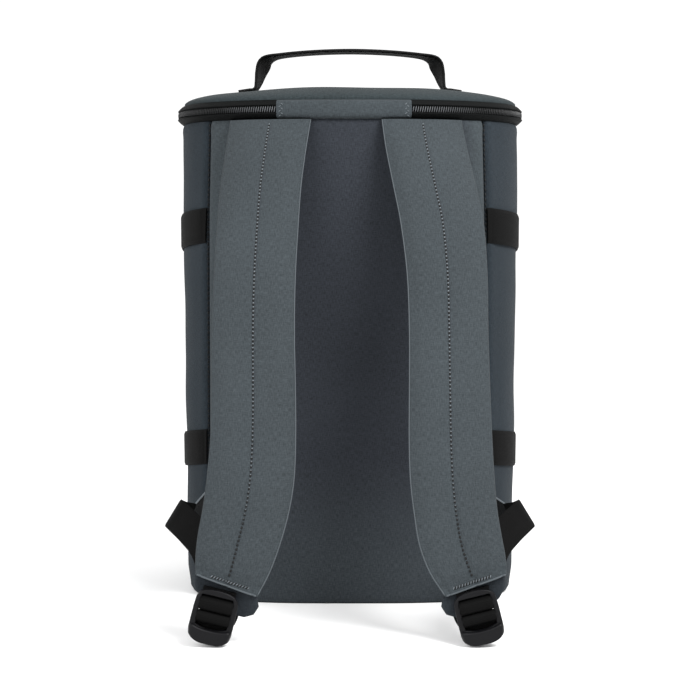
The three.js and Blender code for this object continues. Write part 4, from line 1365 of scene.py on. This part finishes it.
# ------------------------------
# Lock webbing and adjuster webbing
# A short loop of webbing hangs each lock from its strap. The adjuster webbing is sewn in a tab at
# the back seam, folds forward outside the strap, and runs behind it to the lock's lower bar.
# ------------------------------
thin_webbing = ribbed_tape("thin_webbing", linear(7, 7, 7), 1.0 * mm, 0.04, chevron=0.35)

# Depth in frame thicknesses and height in half heights of the lock; the wrap also has its shift.
loop_route = [
    (0.95, 1.0),
    (0.95, 0.86),
    (0.72, 0.72),
    (-0.1, 0.66),
    (-0.85, 0.58),
    (-0.98, 0.42),
    (-0.8, 0.28),
    (0.0, 0.22),
    (0.95, 0.32),
    (1.5, 0.5),
    (1.58, 0.84),
    (1.58, 1.0),
]
wrap_route = [
    (6.8, 0.12, 0.3),
    (3.6, -0.35, 0.2),
    (2.0, -0.6, 0.0),
    (1.1, -0.6, 0.0),
    (0.78, -0.46, 0.0),
    (0.45, -0.31, 0.0),
    (-0.15, -0.235, 0.0),
    (-0.85, -0.17, 0.0),
    (-0.98, -0.03, 0.0),
    (-0.8, 0.1, 0.0),
    (0.0, 0.14, 0.0),
    (0.9, 0.06, 0.0),
    (1.1, -0.08, 0.0),
]
adjuster_route = [
    (0.926, -0.03, 0.181, 1.9, 0.25),
    (0.962, 0.1, 0.191, 1.8, 0.25),
    (0.983, 0.22, 0.202, 1.7, 0.25),
    (0.98, 0.315, 0.208, 1.6, 0.25),
    (0.935, 0.4, 0.2, 1.35, 0.3),
    (0.86, 0.52, 0.184, 1.1, 0.3),
    (0.775, 0.66, 0.158, 0.8, 0.25),
    (0.705, 0.79, 0.104, 0.25, 0.12),
]


def in_lock(name, side, depth, height, shift=0.0):
    """A place in the lock's own frame, in the bag's."""
    matrix = lock_matrix(name, side)
    local = (-side * shift * lock_width / 2, depth * lock_frame, height * lock_height / 2)
    return np.array(matrix @ Matrix.Translation(local))[:3, 3]


for name, side in (("left", -1), ("right", 1)):
    way = np.array(lock_matrix(name, side).to_3x3())[:, 0]
    places = [in_lock(name, side, depth, height) for depth, height in loop_route]
    loop = band(
        f"lock_webbing_loop_{name}",
        places,
        [way] * len(places),
        adjuster_width,
        adjuster_thickness,
        thin_webbing,
        step=0.9 * mm,
    )
    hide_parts(f"lock_webbing_{name}")

    places = [
        (side * across * half_width, -half_depth - forward * strap_reach, height * body_height)
        for across, forward, height, _, _ in adjuster_route
    ]
    ways = [(1, -side * deep, -side * rise) for _, _, _, rise, deep in adjuster_route]
    places += [in_lock(name, side, depth, height, shift) for depth, height, shift in wrap_route]
    ways += [way] * len(wrap_route)
    adjuster = band(
        f"adjuster_webbing_band_{name}",
        places,
        ways,
        adjuster_width,
        adjuster_thickness,
        thin_webbing,
        step=1.4 * mm,
    )
    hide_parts(f"adjuster_webbing_{name}")

# ------------------------------
# Side tabs
# A folded triangle of canvas, painted dark as shade, is sewn in each back seam. Its outer edge is turned
# over the end of the adjuster webbing, and its upper edge has a light turned piping.
# ------------------------------
tab_thickness = 2 * mm
tab_rows, tab_columns = 26, 18
tab_seam_heights = (0.226, 0.088)
upper_edges = []
# Painted shade: the tab's canvas is made near-black.
tab_painted_shade_canvas = canvas_cloth("side_tab_painted_shade_canvas", linear(15, 16, 17))
for name, side in (("left", -1), ("right", 1)):
    stations = [
        np.array((side * across * half_width, -half_depth - forward * strap_reach, height * body_height))
        for across, forward, height, _, _ in adjuster_route[:2]
    ]
    _, _, _, rise, deep = adjuster_route[0]
    along = unit(stations[1] - stations[0])
    way = np.array((1, -side * deep, -side * rise))
    edge = unit(way - along * np.dot(way, along))
    normal = np.cross(along, edge) * side
    outer_low = stations[0] - along * webbing_clear + edge * side * adjuster_width / 2
    outer_high = stations[0] - along * webbing_clear - edge * side * adjuster_width / 2
    seam_points = []
    for share in tab_seam_heights:
        z = share * body_height
        tab_seam = seam_across(side, z) + 1.2 * mm
        seam_points.append(
            np.array((side * tab_seam, -wall_depth(tab_seam, z) - webbing_clear - tab_thickness, z))
        )
    grid = patch(
        [seam_points[0], outer_high],
        [seam_points[1], outer_low],
        [seam_points[0], seam_points[1]],
        [outer_high, outer_low],
        tab_rows,
        tab_columns,
    )
    s = np.linspace(0, 1, tab_columns)[None, :]
    t = np.linspace(0, 1, tab_rows)[:, None]
    near = np.minimum(np.minimum(t, 1 - t) * 30, 1)
    half = tab_thickness / 2 * (0.5 + 0.5 * near) + 0 * s
    bow = 0.5 * mm * np.sin(math.pi * s) * np.sin(math.pi * t)
    face = grid + normal * (half + bow)[..., None]
    back = grid - normal * (half - bow)[..., None]
    uvs = np.stack([s * 30 * mm + 0 * t, t * 50 * mm + 0 * s], -1)
    tab = shell(f"side_tab_painted_shade_canvas_{name}", face, back, uvs, tab_painted_shade_canvas)
    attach(tab, "root")
    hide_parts(f"side_tab_{name}")
    upper_edges.append(np.array([seam_points[0], outer_high]) + [0, 0, 0.4 * mm])
piping = run_along(
    "side_tab_piping", upper_edges, 1.2 * mm, 2.6 * mm, 1.5 * mm, 1.3 * mm, grey_thread
)
